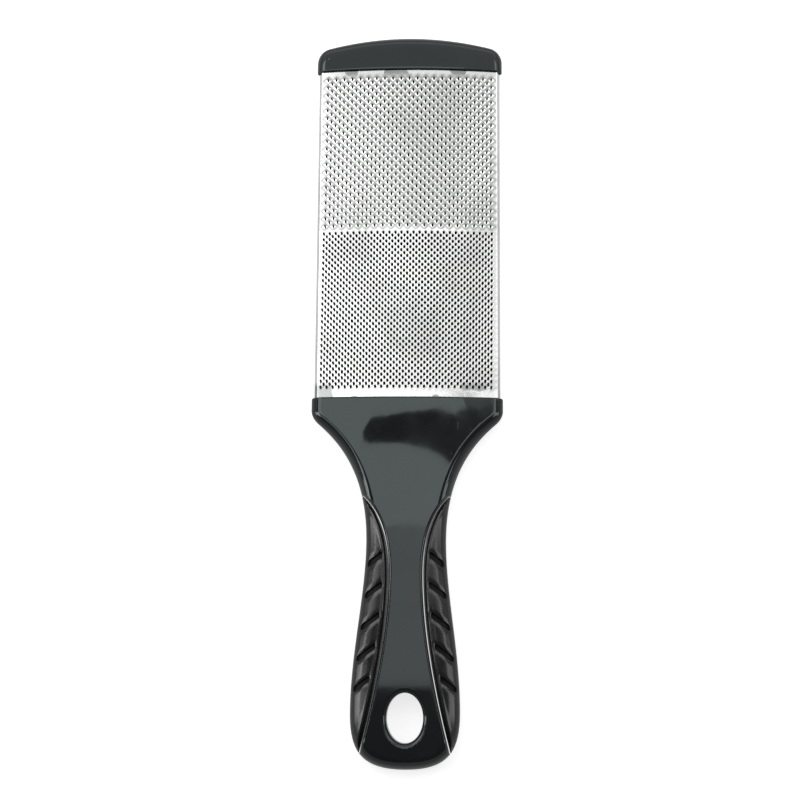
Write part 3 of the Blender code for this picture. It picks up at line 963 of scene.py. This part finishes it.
        # Painted highlight: the lower half of each tooth keeps the bare, bright colour instead of the etched
        # grey.
        lip = smooth((self.highlight_top - np.sin(angle)) / self.highlight_fade)
        painted_light = np.append(np.ones(self.rings + 2), self.brim_highlight)
        etched = sizes.etch * (1 - painted_light[:, None] * lip)
        return np.array(rings), etched, [*self.wall_shade] + [0.0] * (self.rings + 1)

    def border(self, axis: int, value: int) -> np.ndarray:
        """Indexes of the points along one side of the field's rectangle, in ascending order."""
        on_line = self.keys[:, axis] == self.sizes.parts * value
        on_side = np.flatnonzero(on_line & self._inside(self.keys))
        return on_side[np.argsort(self.keys[on_side, 1 - axis])]


def strip(
    first: np.ndarray, second: np.ndarray, first_at: np.ndarray, second_at: np.ndarray,
) -> np.ndarray:
    """Triangles between two rows of unlike numbers of points, as faces that repeat their last corner.

    Each stretch of a row is joined to the point of the other row that has been reached by then.

    Args:
        first: Indexes of the lower row.
        second: Indexes of the upper row.
        first_at: Places along the lower row, ascending.
        second_at: Places along the upper row, from the same start to the same end.

    Returns:
        The faces, facing first direction x upward.
    """
    reached = np.clip(np.searchsorted(second_at, first_at[1:], side="left") - 1, 0, None)
    lower = np.stack([second[reached], first[:-1], first[1:], first[1:]], axis=1)
    reached = np.searchsorted(first_at, second_at[1:], side="right") - 1
    upper = np.stack([first[reached], second[1:], second[:-1], second[:-1]], axis=1)
    return np.concatenate([lower, upper])


class Patchwork:
    """A shape that grows by blocks of points and by the faces between them."""

    def __init__(self, start: Shape) -> None:
        """Starts from a shape, whose points keep their indexes."""
        self.start = start
        self.points, self.faces = [start.points], [start.faces]

    def add(self, block: np.ndarray) -> np.ndarray:
        """Takes rows by columns of points and returns their indexes, of rows by columns."""
        count = sum(map(len, self.points))
        self.points.append(block.reshape(-1, 3))
        return count + np.arange(block.size // 3).reshape(block.shape[:2])

    def skin(self, index: np.ndarray, turned: bool = False) -> None:
        """Faces over a grid of indexes, which face column direction x row direction unless turned."""
        quads = grid_faces(index.T)
        self.faces.append(quads[:, ::-1] if turned else quads)

    def whole(self) -> Shape:
        """All of it, with no marks on the blocks that were added."""
        points = np.concatenate(self.points)
        marks = {name: np.pad(mark, (0, len(points) - len(mark))) for name, mark in self.start.marks.items()}
        return Shape(points, np.concatenate(self.faces), marks)


class RaspSheet(Piece):
    """One etched steel sheet: coarse and fine teeth, bare margins, and sides folded over the core."""

    slot = Slot.STEEL
    sharp = math.radians(17)
    margin_steps = 6
    fold_steps = 6

    def __init__(self, face: Face, sizes: SheetSizes = SheetSizes()) -> None:
        """Takes the face that the sheet covers, and the sizes."""
        self.face = face
        self.sizes = sizes
        self.name = f"rasp_sheet_{face.name.lower()}_visual"
        self.nodes = (f"rasp_sheet_{face.name.lower()}",)

    def fold_path(self) -> np.ndarray:
        """Section of the fold and flange beyond the crown's edge, as (x, z) outwards and down.

        The fold is a quadratic curve round the sharp corner C, from the crown's edge to a point as
        far down the flange.
        """
        corner, edge = (np.array([x, TOOL.sheet_height(x)]) for x in (TOOL.fold, TOOL.crown_edge))
        foot = np.array([TOOL.sheet_half, TOOL.gap / 2])
        below = corner + (foot - corner) / np.linalg.norm(foot - corner) * TOOL.fold_radius
        t = np.linspace(0, 1, self.fold_steps + 1)[1:, None]
        bend = (1 - t) ** 2 * edge + 2 * t * (1 - t) * corner + t ** 2 * below
        return np.concatenate([bend, [(below + foot) / 2, foot]])

    def margin(self, work: Patchwork, row: np.ndarray, end: float) -> np.ndarray:
        """Adds the rows that carry a border row on to a station, and returns them without that row."""
        x, y = work.start.points[row, :2].T
        stations = np.linspace(y[0], end, self.margin_steps + 1)[1:]
        return work.add(points_at(x, stations[:, None], TOOL.sheet_height(x)))

    def shape(self) -> Shape:
        """Both fields, joined by a narrow band, with margins above and below and folded sides."""
        fine, coarse = (ToothField(sizes, self.sizes) for sizes in (self.sizes.fine, self.sizes.coarse))
        work = Patchwork(joined([fine.shape, coarse.shape]))
        shift, place = len(fine.shape.points), work.start.points[:, 0]
        bottom, top = fine.border(1, fine.low), coarse.border(1, coarse.high) + shift
        below = self.margin(work, bottom, TOOL.sheet_foot)[::-1]
        above = self.margin(work, top, TOOL.sheet_top)
        work.skin(np.vstack([below, bottom]))
        work.skin(np.vstack([top, above]))
        low, high = fine.border(1, fine.high), coarse.border(1, coarse.low) + shift
        work.faces.append(strip(low, high, place[low], place[high]))
        path = self.fold_path()
        for sign, end in ((-1, 0), (1, -1)):
            column = np.concatenate([
                below[:, end], fine.border(0, sign * fine.last),
                coarse.border(0, sign * coarse.last) + shift, above[:, end],
            ])
            stations = np.concatenate(work.points)[column, 1]
            index = work.add(points_at(sign * path[:, 0], stations[:, None], path[:, 1]))
            work.skin(np.hstack([column[:, None], index]), turned=sign < 0)
        sheet = work.whole()
        return sheet if self.face is Face.FRONT else sheet.flipped(2)


class EndCap(Piece):
    """The cap over the head's top: a bowed end, round corners, and a pocket for the sheets and the core."""

    name = "end_cap_visual"
    nodes = ("end_cap",)
    face_rows = 60
    side_rows = 30
    rim_columns = 6
    body_columns = 10
    nose_columns = 22

    def __init__(self, sizes: CapSizes = CapSizes()) -> None:
        """Takes the cap's sizes."""
        self.sizes = sizes

    def end(self, x: np.ndarray) -> np.ndarray:
        """Station of the cap's end at x: a long arc, then a round corner down to its side."""
        sizes = self.sizes
        side = TOOL.cap_half - sizes.corner
        centre = TOOL.length - sizes.set_back - sizes.arc_radius
        corner = centre + math.sqrt((sizes.arc_radius - sizes.corner) ** 2 - side ** 2)
        touch = side * sizes.arc_radius / (sizes.arc_radius - sizes.corner)
        arc = centre + np.sqrt(sizes.arc_radius ** 2 - x ** 2)
        round_end = corner + np.sqrt(np.maximum(0, sizes.corner ** 2 - (x - side) ** 2))
        return np.where(x <= touch, arc, round_end)

    def heights(self, x: np.ndarray) -> np.ndarray:
        """Height of the face at x: the crown, then an ellipse quarter down to the side."""
        flat = TOOL.cap_half - self.sizes.side_round
        crown = TOOL.half - TOOL.sag(np.minimum(x, flat))
        return crown * quarter_round((TOOL.cap_half - x) / self.sizes.side_round)

    def lengthways(self, x: np.ndarray, hollow: float, slot: float) -> np.ndarray:
        """Lengthwise sections at several x, from the slot's floor out to the cap's end.

        Args:
            x: Places across.
            hollow: Station of the pocket's floor, or the rim's where there is no pocket.
            slot: Station of the tip slot's floor, or hollow's where there is no slot.

        Returns:
            Rows by columns by 3.
        """
        sizes, x = self.sizes, x[:, None]
        height, end, none = self.heights(x), self.end(x), 0 * x
        crown = TOOL.sheet_crown + TOOL.gap - TOOL.sag(np.minimum(x, TOOL.crown_edge))
        foot = TOOL.sheet_half + TOOL.gap
        pocket = crown * np.clip((foot - x) / (foot - TOOL.crown_edge), 0, 1) ** sizes.pocket_power
        pocket = np.minimum(pocket, height) if hollow > TOOL.rim else none
        tip = np.minimum(pocket, TOOL.tip_height + TOOL.gap)
        ease = np.minimum(sizes.rim_round, height - pocket)
        start = TOOL.rim + sizes.rim_round
        nose = np.minimum(sizes.nose, end - start)
        turn = np.linspace(0, math.pi / 2, self.rim_columns)
        body = np.linspace(0, 1, self.body_columns, endpoint=False)[1:]
        around, power = np.linspace(math.pi / 2, 0, self.nose_columns), 2 / sizes.nose_power
        y = np.concatenate([
            none + (slot, slot, hollow, hollow, TOOL.rim),
            TOOL.rim + sizes.rim_round * (1 - np.cos(turn)) + none,
            start + (end - nose - start) * body,
            (end - nose) + nose * np.cos(around) ** power,
        ], axis=1)
        z = np.concatenate([
            none, tip, tip, pocket, pocket,
            height - ease * (1 - np.sin(turn)), height + 0 * body, height * np.sin(around) ** power,
        ], axis=1)
        return points_at(x, y, z)

    def shape(self) -> Shape:
        """Sections over the tip's slot, over the pocket, and over the solid side."""
        slot_x, pocket_x = TOOL.tip_half + TOOL.gap, TOOL.sheet_half + TOOL.gap
        floor = TOOL.sheet_top + TOOL.gap
        flat = TOOL.cap_half - self.sizes.side_round
        turn = np.linspace(math.pi / 2, 0, self.side_rows)
        side = flat + self.sizes.side_round * np.cos(turn)
        rows = []
        for start, end, hollow, slot in (
            (0.0, slot_x, floor, floor + TOOL.tip_length),
            (slot_x, pocket_x, floor, floor),
            (pocket_x, TOOL.cap_half, TOOL.rim, TOOL.rim),
        ):
            x = np.concatenate([[start], np.linspace(0, flat, self.face_rows), side, [end]])
            rows.append(self.lengthways(np.unique(x[(x >= start) & (x <= end)]), hollow, slot))
        return Shape.grid(np.concatenate(rows), turned=True).mirrored(0).mirrored(2).welded()


# Materials

class NodeSketch:
    """A node tree with short ways to add nodes and link them."""

    # Numbers of the mix node's colour sockets, which share their names with its other sockets
    mix_colours = (6, 7)
    mix_result = 2

    def __init__(self, tree: bpy.types.NodeTree) -> None:
        """Takes the tree that the nodes go into."""
        self.tree = tree

    def fill(self, node: bpy.types.Node, inputs: dict[Any, Any]) -> bpy.types.Node:
        """Sets or links a node's inputs.

        Args:
            node: The node.
            inputs: Values or output sockets by input name or number.

        Returns:
            The same node.
        """
        for key, value in inputs.items():
            if isinstance(value, Socket):
                self.tree.links.new(value, node.inputs[key])
            else:
                node.inputs[key].default_value = value
        return node

    def add(self, kind: str, inputs: dict[Any, Any] | None = None, **settings: Any) -> bpy.types.Node:
        """Adds a node.

        Args:
            kind: Its bl_idname.
            inputs: Values or output sockets by input name or number.
            **settings: Attributes of the node itself.

        Returns:
            The node.
        """
        node = self.tree.nodes.new(kind)
        for name, value in settings.items():
            setattr(node, name, value)
        return self.fill(node, inputs or {})

    def first(self, kind: str) -> bpy.types.Node:
        """The node of a kind that the tree started with."""
        return next(node for node in self.tree.nodes if node.type == kind)

    def noise(self, place: Socket, scale: Any, detail: float = 3.0, rough: float = 0.5) -> Socket:
        """A noise texture's value."""
        inputs = {"Vector": place, "Scale": scale, "Detail": detail, "Roughness": rough}
        return self.add("ShaderNodeTexNoise", inputs).outputs["Fac"]

    def ramp(self, value: Socket, source: Pair = (0.0, 1.0), target: Pair = (0.0, 1.0)) -> Socket:
        """A value carried from one range to another, with smooth ends."""
        names = ("From Min", "From Max", "To Min", "To Max")
        inputs = {"Value": value, **dict(zip(names, (*source, *target)))}
        return self.add("ShaderNodeMapRange", inputs, interpolation_type="SMOOTHSTEP").outputs["Result"]

    def math(self, operation: str, first: Any, second: Any) -> Socket:
        """One sum of two values."""
        return self.add("ShaderNodeMath", {0: first, 1: second}, operation=operation).outputs[0]

    def most(self, first: Any, *others: Any) -> Socket:
        """The greatest of several values."""
        for other in others:
            first = self.math("MAXIMUM", first, other)
        return first

    def mix(self, share: Any, first: Any, second: Any) -> Socket:
        """A colour between two."""
        pair = ((*value, 1.0) if isinstance(value, tuple) else value for value in (first, second))
        inputs = {0: share, **dict(zip(self.mix_colours, pair))}
        return self.add("ShaderNodeMix", inputs, data_type="RGBA").outputs[self.mix_result]

    def mark(self, name: str) -> Socket:
        """One of the mesh's point marks."""
        return self.add("ShaderNodeAttribute", attribute_name=name).outputs["Fac"]


def new_material(name: str) -> tuple[bpy.types.Material, NodeSketch, bpy.types.Node]:
    """A material, its node sketch and its Principled node."""
    material = bpy.data.materials.new(name)
    material.use_nodes = True
    sketch = NodeSketch(material.node_tree)
    return material, sketch, sketch.first("BSDF_PRINCIPLED")


@dataclass(frozen=True)
class WearSizes:
    """Handling wear: noise scales over a metre, and the noise levels between which each part shows."""

    scratch_turns: tuple[Pair, ...] = ((0.5, 9.0), (-0.9, 12.0), (1.9, 8.0))
    scratch_scale: float = 2600.0
    scratch_levels: Pair = (0.70, 0.76)
    patch_scale: float = 90.0
    patch_levels: Pair = (0.50, 0.66)
    smudge_levels: Pair = (0.42, 0.72)

    def group(self) -> bpy.types.NodeTree:
        """Fine grain, thin scratches and faint smudges, as values that any finish can use.

        Grain and scratches are heights for a bump, the smudge is a mask for roughness and colour.
        """
        tree = bpy.data.node_groups.new("handling_wear", "ShaderNodeTree")
        for name in ("Grain Scale", "Grain", "Scratches", "Smudge Scale"):
            tree.interface.new_socket(name, in_out="INPUT", socket_type="NodeSocketFloat")
        for name in ("Height", "Scratch", "Smudge"):
            tree.interface.new_socket(name, in_out="OUTPUT", socket_type="NodeSocketFloat")
        sketch = NodeSketch(tree)
        given = sketch.add("NodeGroupInput").outputs
        place = sketch.add("ShaderNodeTexCoord").outputs["Object"]
        grain = sketch.noise(place, given["Grain Scale"], detail=2.0)
        scratches = []
        for turn, stretch in self.scratch_turns:
            inputs = {"Vector": place, "Rotation": (0.0, 0.0, turn), "Scale": (1.0, 1.0 / stretch, 1.0)}
            turned = sketch.add("ShaderNodeMapping", inputs).outputs["Vector"]
            line = sketch.ramp(sketch.noise(turned, self.scratch_scale, detail=1.0), self.scratch_levels)
            patch = sketch.ramp(sketch.noise(turned, self.patch_scale, detail=2.0), self.patch_levels)
            scratches.append(sketch.math("MULTIPLY", line, patch))
        scratch = sketch.most(*scratches)
        cloud = sketch.noise(place, given["Smudge Scale"], detail=4.0, rough=0.6)
        smudge = sketch.ramp(cloud, self.smudge_levels)
        raised = sketch.math("MULTIPLY", grain, given["Grain"])
        sunk = sketch.math("MULTIPLY", scratch, given["Scratches"])
        height = sketch.math("SUBTRACT", raised, sunk)
        sketch.add("NodeGroupOutput", {"Height": height, "Scratch": scratch, "Smudge": smudge})
        return tree


@dataclass(frozen=True)
class Finish:
    """A procedural finish: a Principled surface whose colour, roughness and bump vary with wear."""

    slot: Slot
    colour: Triple
    worn: Triple
    roughness: float
    smudged: float
    metallic: float = 0.0
    specular: float = 0.5
    sheen: Triple = (1.0, 1.0, 1.0)
    grain_scale: float = 1800.0
    grain: float = 1.0
    scratches: float = 0.5
    scratch_roughness: float = 0.12
    smudge_scale: float = 45.0
    bump: float = 0.1
    bump_depth: float = 0.00004

    def build(self, wear: bpy.types.NodeTree) -> bpy.types.Material:
        """The finish as a material.

        Args:
            wear: The shared wear group.

        Returns:
            The material, named after its slot.
        """
        material, sketch, shader = new_material(self.slot.value + "_finish")
        sketch.fill(shader, {
            "Metallic": self.metallic, "Specular IOR Level": self.specular,
            "Specular Tint": (*self.sheen, 1.0),
        })
        group = sketch.fill(sketch.add("ShaderNodeGroup", node_tree=wear), {
            "Grain Scale": self.grain_scale, "Grain": self.grain,
            "Scratches": self.scratches, "Smudge Scale": self.smudge_scale,
        })
        colour, rough, height = self.surface(sketch, shader, group.outputs)
        inputs = {"Strength": self.bump, "Distance": self.bump_depth, "Height": height}
        normal = sketch.add("ShaderNodeBump", inputs).outputs["Normal"]
        sketch.fill(shader, {"Base Color": colour, "Roughness": rough, "Normal": normal})
        return material

    def smudged_roughness(self, sketch: NodeSketch, wear: Any) -> Socket:
        """Roughness that rises where the surface is smudged."""
        return sketch.ramp(wear["Smudge"], target=(self.roughness, self.smudged))

    def surface(self, sketch: NodeSketch, shader: bpy.types.Node, wear: Any) -> tuple[Socket, Socket, Socket]:
        """Colour, roughness and height of the plain finish: wear alone.

        Args:
            sketch: The material's tree.
            shader: Its Principled node.
            wear: The wear group's outputs.

        Returns:
            The three sockets.
        """
        colour = sketch.mix(wear["Smudge"], self.colour, self.worn)
        scratched = sketch.math("MULTIPLY", wear["Scratch"], self.scratch_roughness)
        rough = sketch.math("ADD", self.smudged_roughness(sketch, wear), scratched)
        return colour, rough, wear["Height"]


@dataclass(frozen=True)
class GripFinish(Finish):
    """Soft grip: fine grain all over, and rougher recesses with a painted shade from lowered specular."""

    # Specular level inside the recesses, lowered as a painted shade.
    painted_shade_specular: float = 0.06
    recess_levels: Pair = (0.3, 0.9)
    recess_roughness: float = 0.20

    def surface(self, sketch: NodeSketch, shader: bpy.types.Node, wear: Any) -> tuple[Socket, Socket, Socket]:
        """Wear, with the recesses rougher than the skin and a painted shade in them from lowered specular."""
        recess = sketch.mark("recess")
        # Painted shade: the specular level drops inside the recesses to darken them.
        painted_light = sketch.ramp(recess, self.recess_levels, (self.specular, self.painted_shade_specular))
        sketch.fill(shader, {"Specular IOR Level": painted_light})
        colour = sketch.mix(wear["Smudge"], self.colour, self.worn)
        dull = sketch.math("MULTIPLY", recess, self.recess_roughness)
        return colour, sketch.math("ADD", self.smudged_roughness(sketch, wear), dull), wear["Height"]


@dataclass(frozen=True)
class SteelFinish(Finish):
    """Etched stainless steel: rolling streaks on the bare sheet, duller dishes, a painted highlight on
    each tooth's lower half, and painted shade on the hole walls.

    The teeth lie between `bare_stations`, in metres of the row frame, and only the bare margins
    beyond them carry darker blotches.
    """

    etched: Triple = (0.33, 0.34, 0.33)
    # Painted shade on the hole walls.
    hole_shade: Triple = (0.02, 0.02, 0.02)
    stain: Triple = (0.50, 0.51, 0.50)
    mark: Triple = (0.30, 0.31, 0.31)
    etched_roughness: float = 0.25
    streak_scale: float = 2200.0
    streak_squeeze: float = 0.03
    streak_levels: Pair = (0.3, 0.7)
    streak_share: float = 0.5
    streak_height: float = 0.6
    stain_share: float = 0.5
    hole_shade_levels: Pair = (0.5, 0.9)
    mark_scale: float = 95.0
    mark_levels: Pair = (0.575, 0.60)
    bare_stations: Pair = (0.0005, 0.1045)
    mark_fade: float = 0.002

    def surface(self, sketch: NodeSketch, shader: bpy.types.Node, wear: Any) -> tuple[Socket, Socket, Socket]:
        """Streaks along the sheet, smudges, darker blotches on the bare margins, the teeth's etched mark
        with its painted highlight on their lower halves, and the holes' painted shade.
        """
        place = sketch.add("ShaderNodeTexCoord").outputs["Object"]
        squeeze = {"Vector": place, "Scale": (1.0, self.streak_squeeze, 1.0)}
        drawn = sketch.add("ShaderNodeMapping", squeeze).outputs["Vector"]
        streak = sketch.noise(drawn, self.streak_scale, detail=3.0, rough=0.6)
        etched, hole_shade = sketch.mark("etched"), sketch.mark("hole_shade")
        share = sketch.ramp(streak, self.streak_levels, (0.0, self.streak_share))
        bare = sketch.mix(share, self.colour, self.worn)
        bare = sketch.mix(sketch.math("MULTIPLY", wear["Smudge"], self.stain_share), bare, self.stain)
        along = sketch.add("ShaderNodeSeparateXYZ", {"Vector": place}).outputs["Y"]
        low, high = (sketch.ramp(along, (edge, edge + self.mark_fade)) for edge in self.bare_stations)
        ends = sketch.math("SUBTRACT", 1.0, sketch.math("SUBTRACT", low, high))
        blotch = sketch.ramp(sketch.noise(place, self.mark_scale, detail=1.0), self.mark_levels)
        bare = sketch.mix(sketch.math("MULTIPLY", ends, blotch), bare, self.mark)
        # Where the etched mark drops on the teeth's lower halves, the bare colour shows as a painted
        # highlight; the hole walls take a painted shade.
        plain = sketch.mix(etched, bare, self.etched)
        colour = sketch.mix(sketch.ramp(hole_shade, self.hole_shade_levels), plain, self.hole_shade)
        dull = sketch.math("MULTIPLY", etched, self.etched_roughness)
        rough = sketch.math("ADD", self.smudged_roughness(sketch, wear), dull)
        raised = sketch.math("MULTIPLY", streak, self.streak_height)
        return colour, rough, sketch.math("ADD", wear["Height"], raised)


FINISHES = {
    Slot.GLOSS: Finish(
        Slot.GLOSS, colour=(0.0105, 0.0120, 0.0125), worn=(0.0150, 0.0165, 0.0170), roughness=0.03,
        smudged=0.055, grain_scale=700.0, grain=0.35, scratches=0.6, smudge_scale=38.0, bump=0.03,
        sheen=(0.88, 1.0, 0.99),
    ),
    Slot.SATIN: GripFinish(
        Slot.SATIN, colour=(0.0120, 0.0125, 0.0130), worn=(0.0165, 0.0170, 0.0175), roughness=0.16,
        smudged=0.22, grain_scale=2600.0, grain=1.0, scratches=0.2, smudge_scale=60.0, bump=0.20,
    ),
    Slot.CORE: Finish(
        Slot.CORE, colour=(0.012, 0.012, 0.013), worn=(0.020, 0.020, 0.021), roughness=0.60,
        smudged=0.72, grain_scale=1500.0, grain=1.0, scratches=0.2, smudge_scale=70.0, bump=0.25,
        specular=0.08,
    ),
    Slot.STEEL: SteelFinish(
        Slot.STEEL, colour=(0.80, 0.81, 0.80), worn=(0.70, 0.71, 0.70), roughness=0.14, smudged=0.22,
        metallic=1.0, grain_scale=3200.0, grain=0.5, scratches=0.5, smudge_scale=55.0, bump=0.10,
    ),
}


# Studio

@dataclass(frozen=True)
class Panel:
    """A soft lamp: a rectangle of one brightness with one edge along Y.

    `low` and `high` are the middles of its two edges that lie along Y, as (x, z) over the tool's
    middle plane, and `stations` the stations that it spans, all in drawing millimetres.
    """

    name: str
    low: Pair
    high: Pair
    stations: Pair
    radiance: float

    def build(self) -> bpy.types.Object:
        """An area lamp whose power is radiance x pi x area, and that shines against (high - low) x Y."""
        low, high = np.array(self.low), np.array(self.high)
        middle = np.array([(low + high)[0] / 2, sum(self.stations) / 2, (low + high)[1] / 2])
        wide, long = np.linalg.norm(high - low) * MM, (self.stations[1] - self.stations[0]) * MM
        lamp = bpy.data.lights.new(self.name, "AREA")
        lamp.shape = "RECTANGLE"
        lamp.size, lamp.size_y = wide, long
        lamp.energy = self.radiance * math.pi * wide * long
        across = Vector(((high - low)[0], 0, (high - low)[1])).normalized()
        along = Vector((0, 1, 0))
        obj = add_object(self.name, lamp)
        axes = Matrix((across, along, across.cross(along))).transposed()
        obj.matrix_world = Matrix.Translation(to_row(middle)) @ axes.to_4x4()
        return obj


CEILING = 524.0
STRIP = CEILING - 4.0
PANELS = (
    Panel("overhead_near", (-115.0, CEILING), (115.0, CEILING), (27.0, 128.0), 1.45),
    Panel("overhead_main", (-270.0, CEILING), (130.0, CEILING), (128.0, 400.0), 2.15),
    Panel("overhead_mouth", (130.0, CEILING), (300.0, CEILING), (128.0, 224.0), 1.8),
    Panel("overhead_right", (130.0, CEILING), (300.0, CEILING), (224.0, 400.0), 1.0),
    Panel("overhead_far", (-1200.0, CEILING), (1200.0, CEILING), (400.0, 2600.0), 0.82),
    Panel("strip_left", (-650.0, STRIP), (-270.0, STRIP), (128.0, 590.0), 3.0),
    Panel("strip_right", (300.0, STRIP), (600.0, STRIP), (128.0, 590.0), 2.2),
    Panel("sheen_left", (-1000.0, CEILING), (-600.0, CEILING), (-40.0, 150.0), 6.0),
    Panel("sheen_low", (-600.0, CEILING), (-300.0, CEILING), (-20.0, 60.0), 2.5),
    Panel("sheen_right", (500.0, CEILING), (1000.0, CEILING), (-40.0, 150.0), 2.8),
    Panel("side_left", (-1000.0, 190.0), (-1000.0, 520.0), (-70.0, 165.0), 3.2),
    Panel("side_right", (1000.0, 520.0), (1000.0, 290.0), (-70.0, 165.0), 2.6),
)
# Corners of the black card, as (x, station) just under the panels
CARD = (
    (-104.0, 200.0), (-96.0, 193.0), (-84.0, 188.0), (-66.0, 184.0), (-48.0, 181.0), (-24.0, 179.0),
    (0.0, 177.5), (48.0, 178.5), (70.0, 176.0), (130.0, 190.0), (200.0, 235.0), (200.0, 262.0),
    (162.0, 242.0), (114.0, 222.5), (96.0, 214.5), (78.0, 210.5), (60.0, 208.0), (24.0, 201.5),
    (0.0, 199.0), (-36.0, 198.4), (-60.0, 199.4), (-80.0, 202.5), (-94.0, 204.5),
)


@dataclass(frozen=True)
class Studio:
    """Pale floor, soft panels, a black card, a plain world and the camera."""

    panels: tuple[Panel, ...] = PANELS
    floor_size: float = 6.0
    floor_colour: float = 0.52
    floor_specular: float = 0.1
    floor_lift: float = 0.78
    gloss_share: float = 0.3
    matt: float = 0.9
    world: float = 0.03
    horizon: float = 0.45
    horizon_sines: Pair = (0.34, 0.60)
    card_drop: float = 8.0
    card_colour: float = 0.01
    lens: float = 74.137
    sensor: float = 36.0
    clip_start: float = 0.01
    camera_place: Triple = (0.01409, -0.09619, 0.52872)
    camera_right: Triple = (0.99952, 0.00801, -0.02991)
    camera_up: Triple = (-0.00267, 0.98463, 0.17465)
    camera_back: Triple = (0.03085, -0.17449, 0.98418)

    def flat(
        self, name: str, finish: str, corners: Sequence[Sequence[float]], colour: float,
    ) -> tuple[bpy.types.Object, NodeSketch, bpy.types.Node]:
        """A flat matt object of one face.

        Args:
            name: Its name.
            finish: Its material's name.
            corners: Its corners in the row frame, once round.
            colour: Its grey.

        Returns:
            The object, its material's sketch and its Principled node.
        """
        mesh = bpy.data.meshes.new(name)
        mesh.from_pydata(corners, [], [range(len(corners))])
        material, sketch, shader = new_material(finish)
        sketch.fill(shader, {"Base Color": (colour,) * 3 + (1.0,), "Roughness": self.matt})
        mesh.materials.append(material)
        return add_object(name, mesh), sketch, shader

    def floor(self) -> None:
        """A plain pale floor that the camera and the gloss see a little lighter, so that it ends white."""
        half = self.floor_size / 2
        corners = [(-half, -half, 0), (half, -half, 0), (half, half, 0), (-half, half, 0)]
        floor, sketch, shader = self.flat("studio_floor", "pale_floor", corners, self.floor_colour)
        path = sketch.add("ShaderNodeLightPath").outputs
        gloss = sketch.math("MULTIPLY", path["Is Glossy Ray"], self.gloss_share)
        seen = sketch.most(path["Is Camera Ray"], path["Is Transmission Ray"], gloss)
        sketch.fill(shader, {
            "Specular IOR Level": self.floor_specular, "Emission Color": (1.0,) * 4,
            "Emission Strength": sketch.math("MULTIPLY", seen, self.floor_lift),
        })

    def card(self) -> None:
        """A black card under the overhead panel, whose dark reflection falls on the neck."""
        points = np.array([(x, y, CEILING - self.card_drop) for x, y in CARD])
        card, _, _ = self.flat("studio_card", "black_card", to_row(points).tolist(), self.card_colour)

    def backdrop(self) -> None:
        """A world that is white to the camera, and to gloss a pale band above the horizon."""
        world = bpy.data.worlds.new("studio_world")
        bpy.context.scene.world = world
        world.use_nodes = True
        sketch = NodeSketch(world.node_tree)
        path = sketch.add("ShaderNodeLightPath").outputs
        way = sketch.add("ShaderNodeTexCoord").outputs["Generated"]
        up = sketch.add("ShaderNodeSeparateXYZ", {"Vector": way}).outputs["Z"]
        band = sketch.ramp(up, self.horizon_sines, (self.horizon, self.world))
        gloss = sketch.math("MULTIPLY", path["Is Glossy Ray"], band)
        seen = sketch.most(path["Is Camera Ray"], path["Is Transmission Ray"], gloss, self.world)
        sketch.fill(sketch.first("BACKGROUND"), {"Color": (1.0,) * 4, "Strength": seen})

    def camera(self) -> None:
        """The photograph's camera, above the handle and turned a little towards the cap."""
        data = bpy.data.cameras.new("photo_camera")
        data.lens, data.sensor_width, data.clip_start = self.lens, self.sensor, self.clip_start
        camera = add_object("photo_camera", data)
        axes = Matrix((self.camera_right, self.camera_up, self.camera_back)).transposed()
        camera.matrix_world = Matrix.Translation(self.camera_place) @ axes.to_4x4()
        bpy.context.scene.camera = camera

    def build(self) -> None:
        """Makes floor, card, lamps, world and camera."""
        self.floor()
        self.card()
        for panel in self.panels:
            panel.build()
        self.backdrop()
        self.camera()
        bpy.context.scene.view_settings.view_transform = "Standard"


def main() -> None:
    logging.basicConfig(level=logging.INFO, format="%(name)s: %(message)s")
    wear = WearSizes().group()
    materials = {slot: finish.build(wear) for slot, finish in FINISHES.items()}
    pieces: list[Piece] = [
        HandleBody(), Grip(Side.LEFT), Grip(Side.RIGHT),
        RaspSheet(Face.FRONT), RaspSheet(Face.BACK), EndCap(),
    ]
    for piece in pieces:
        piece.build(materials[piece.slot])
    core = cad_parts["core_paddle"]
    for material_slot in core.material_slots:
        material_slot.material = materials[Slot.CORE]
    Studio().build()


if __name__ == "__main__":
    main()
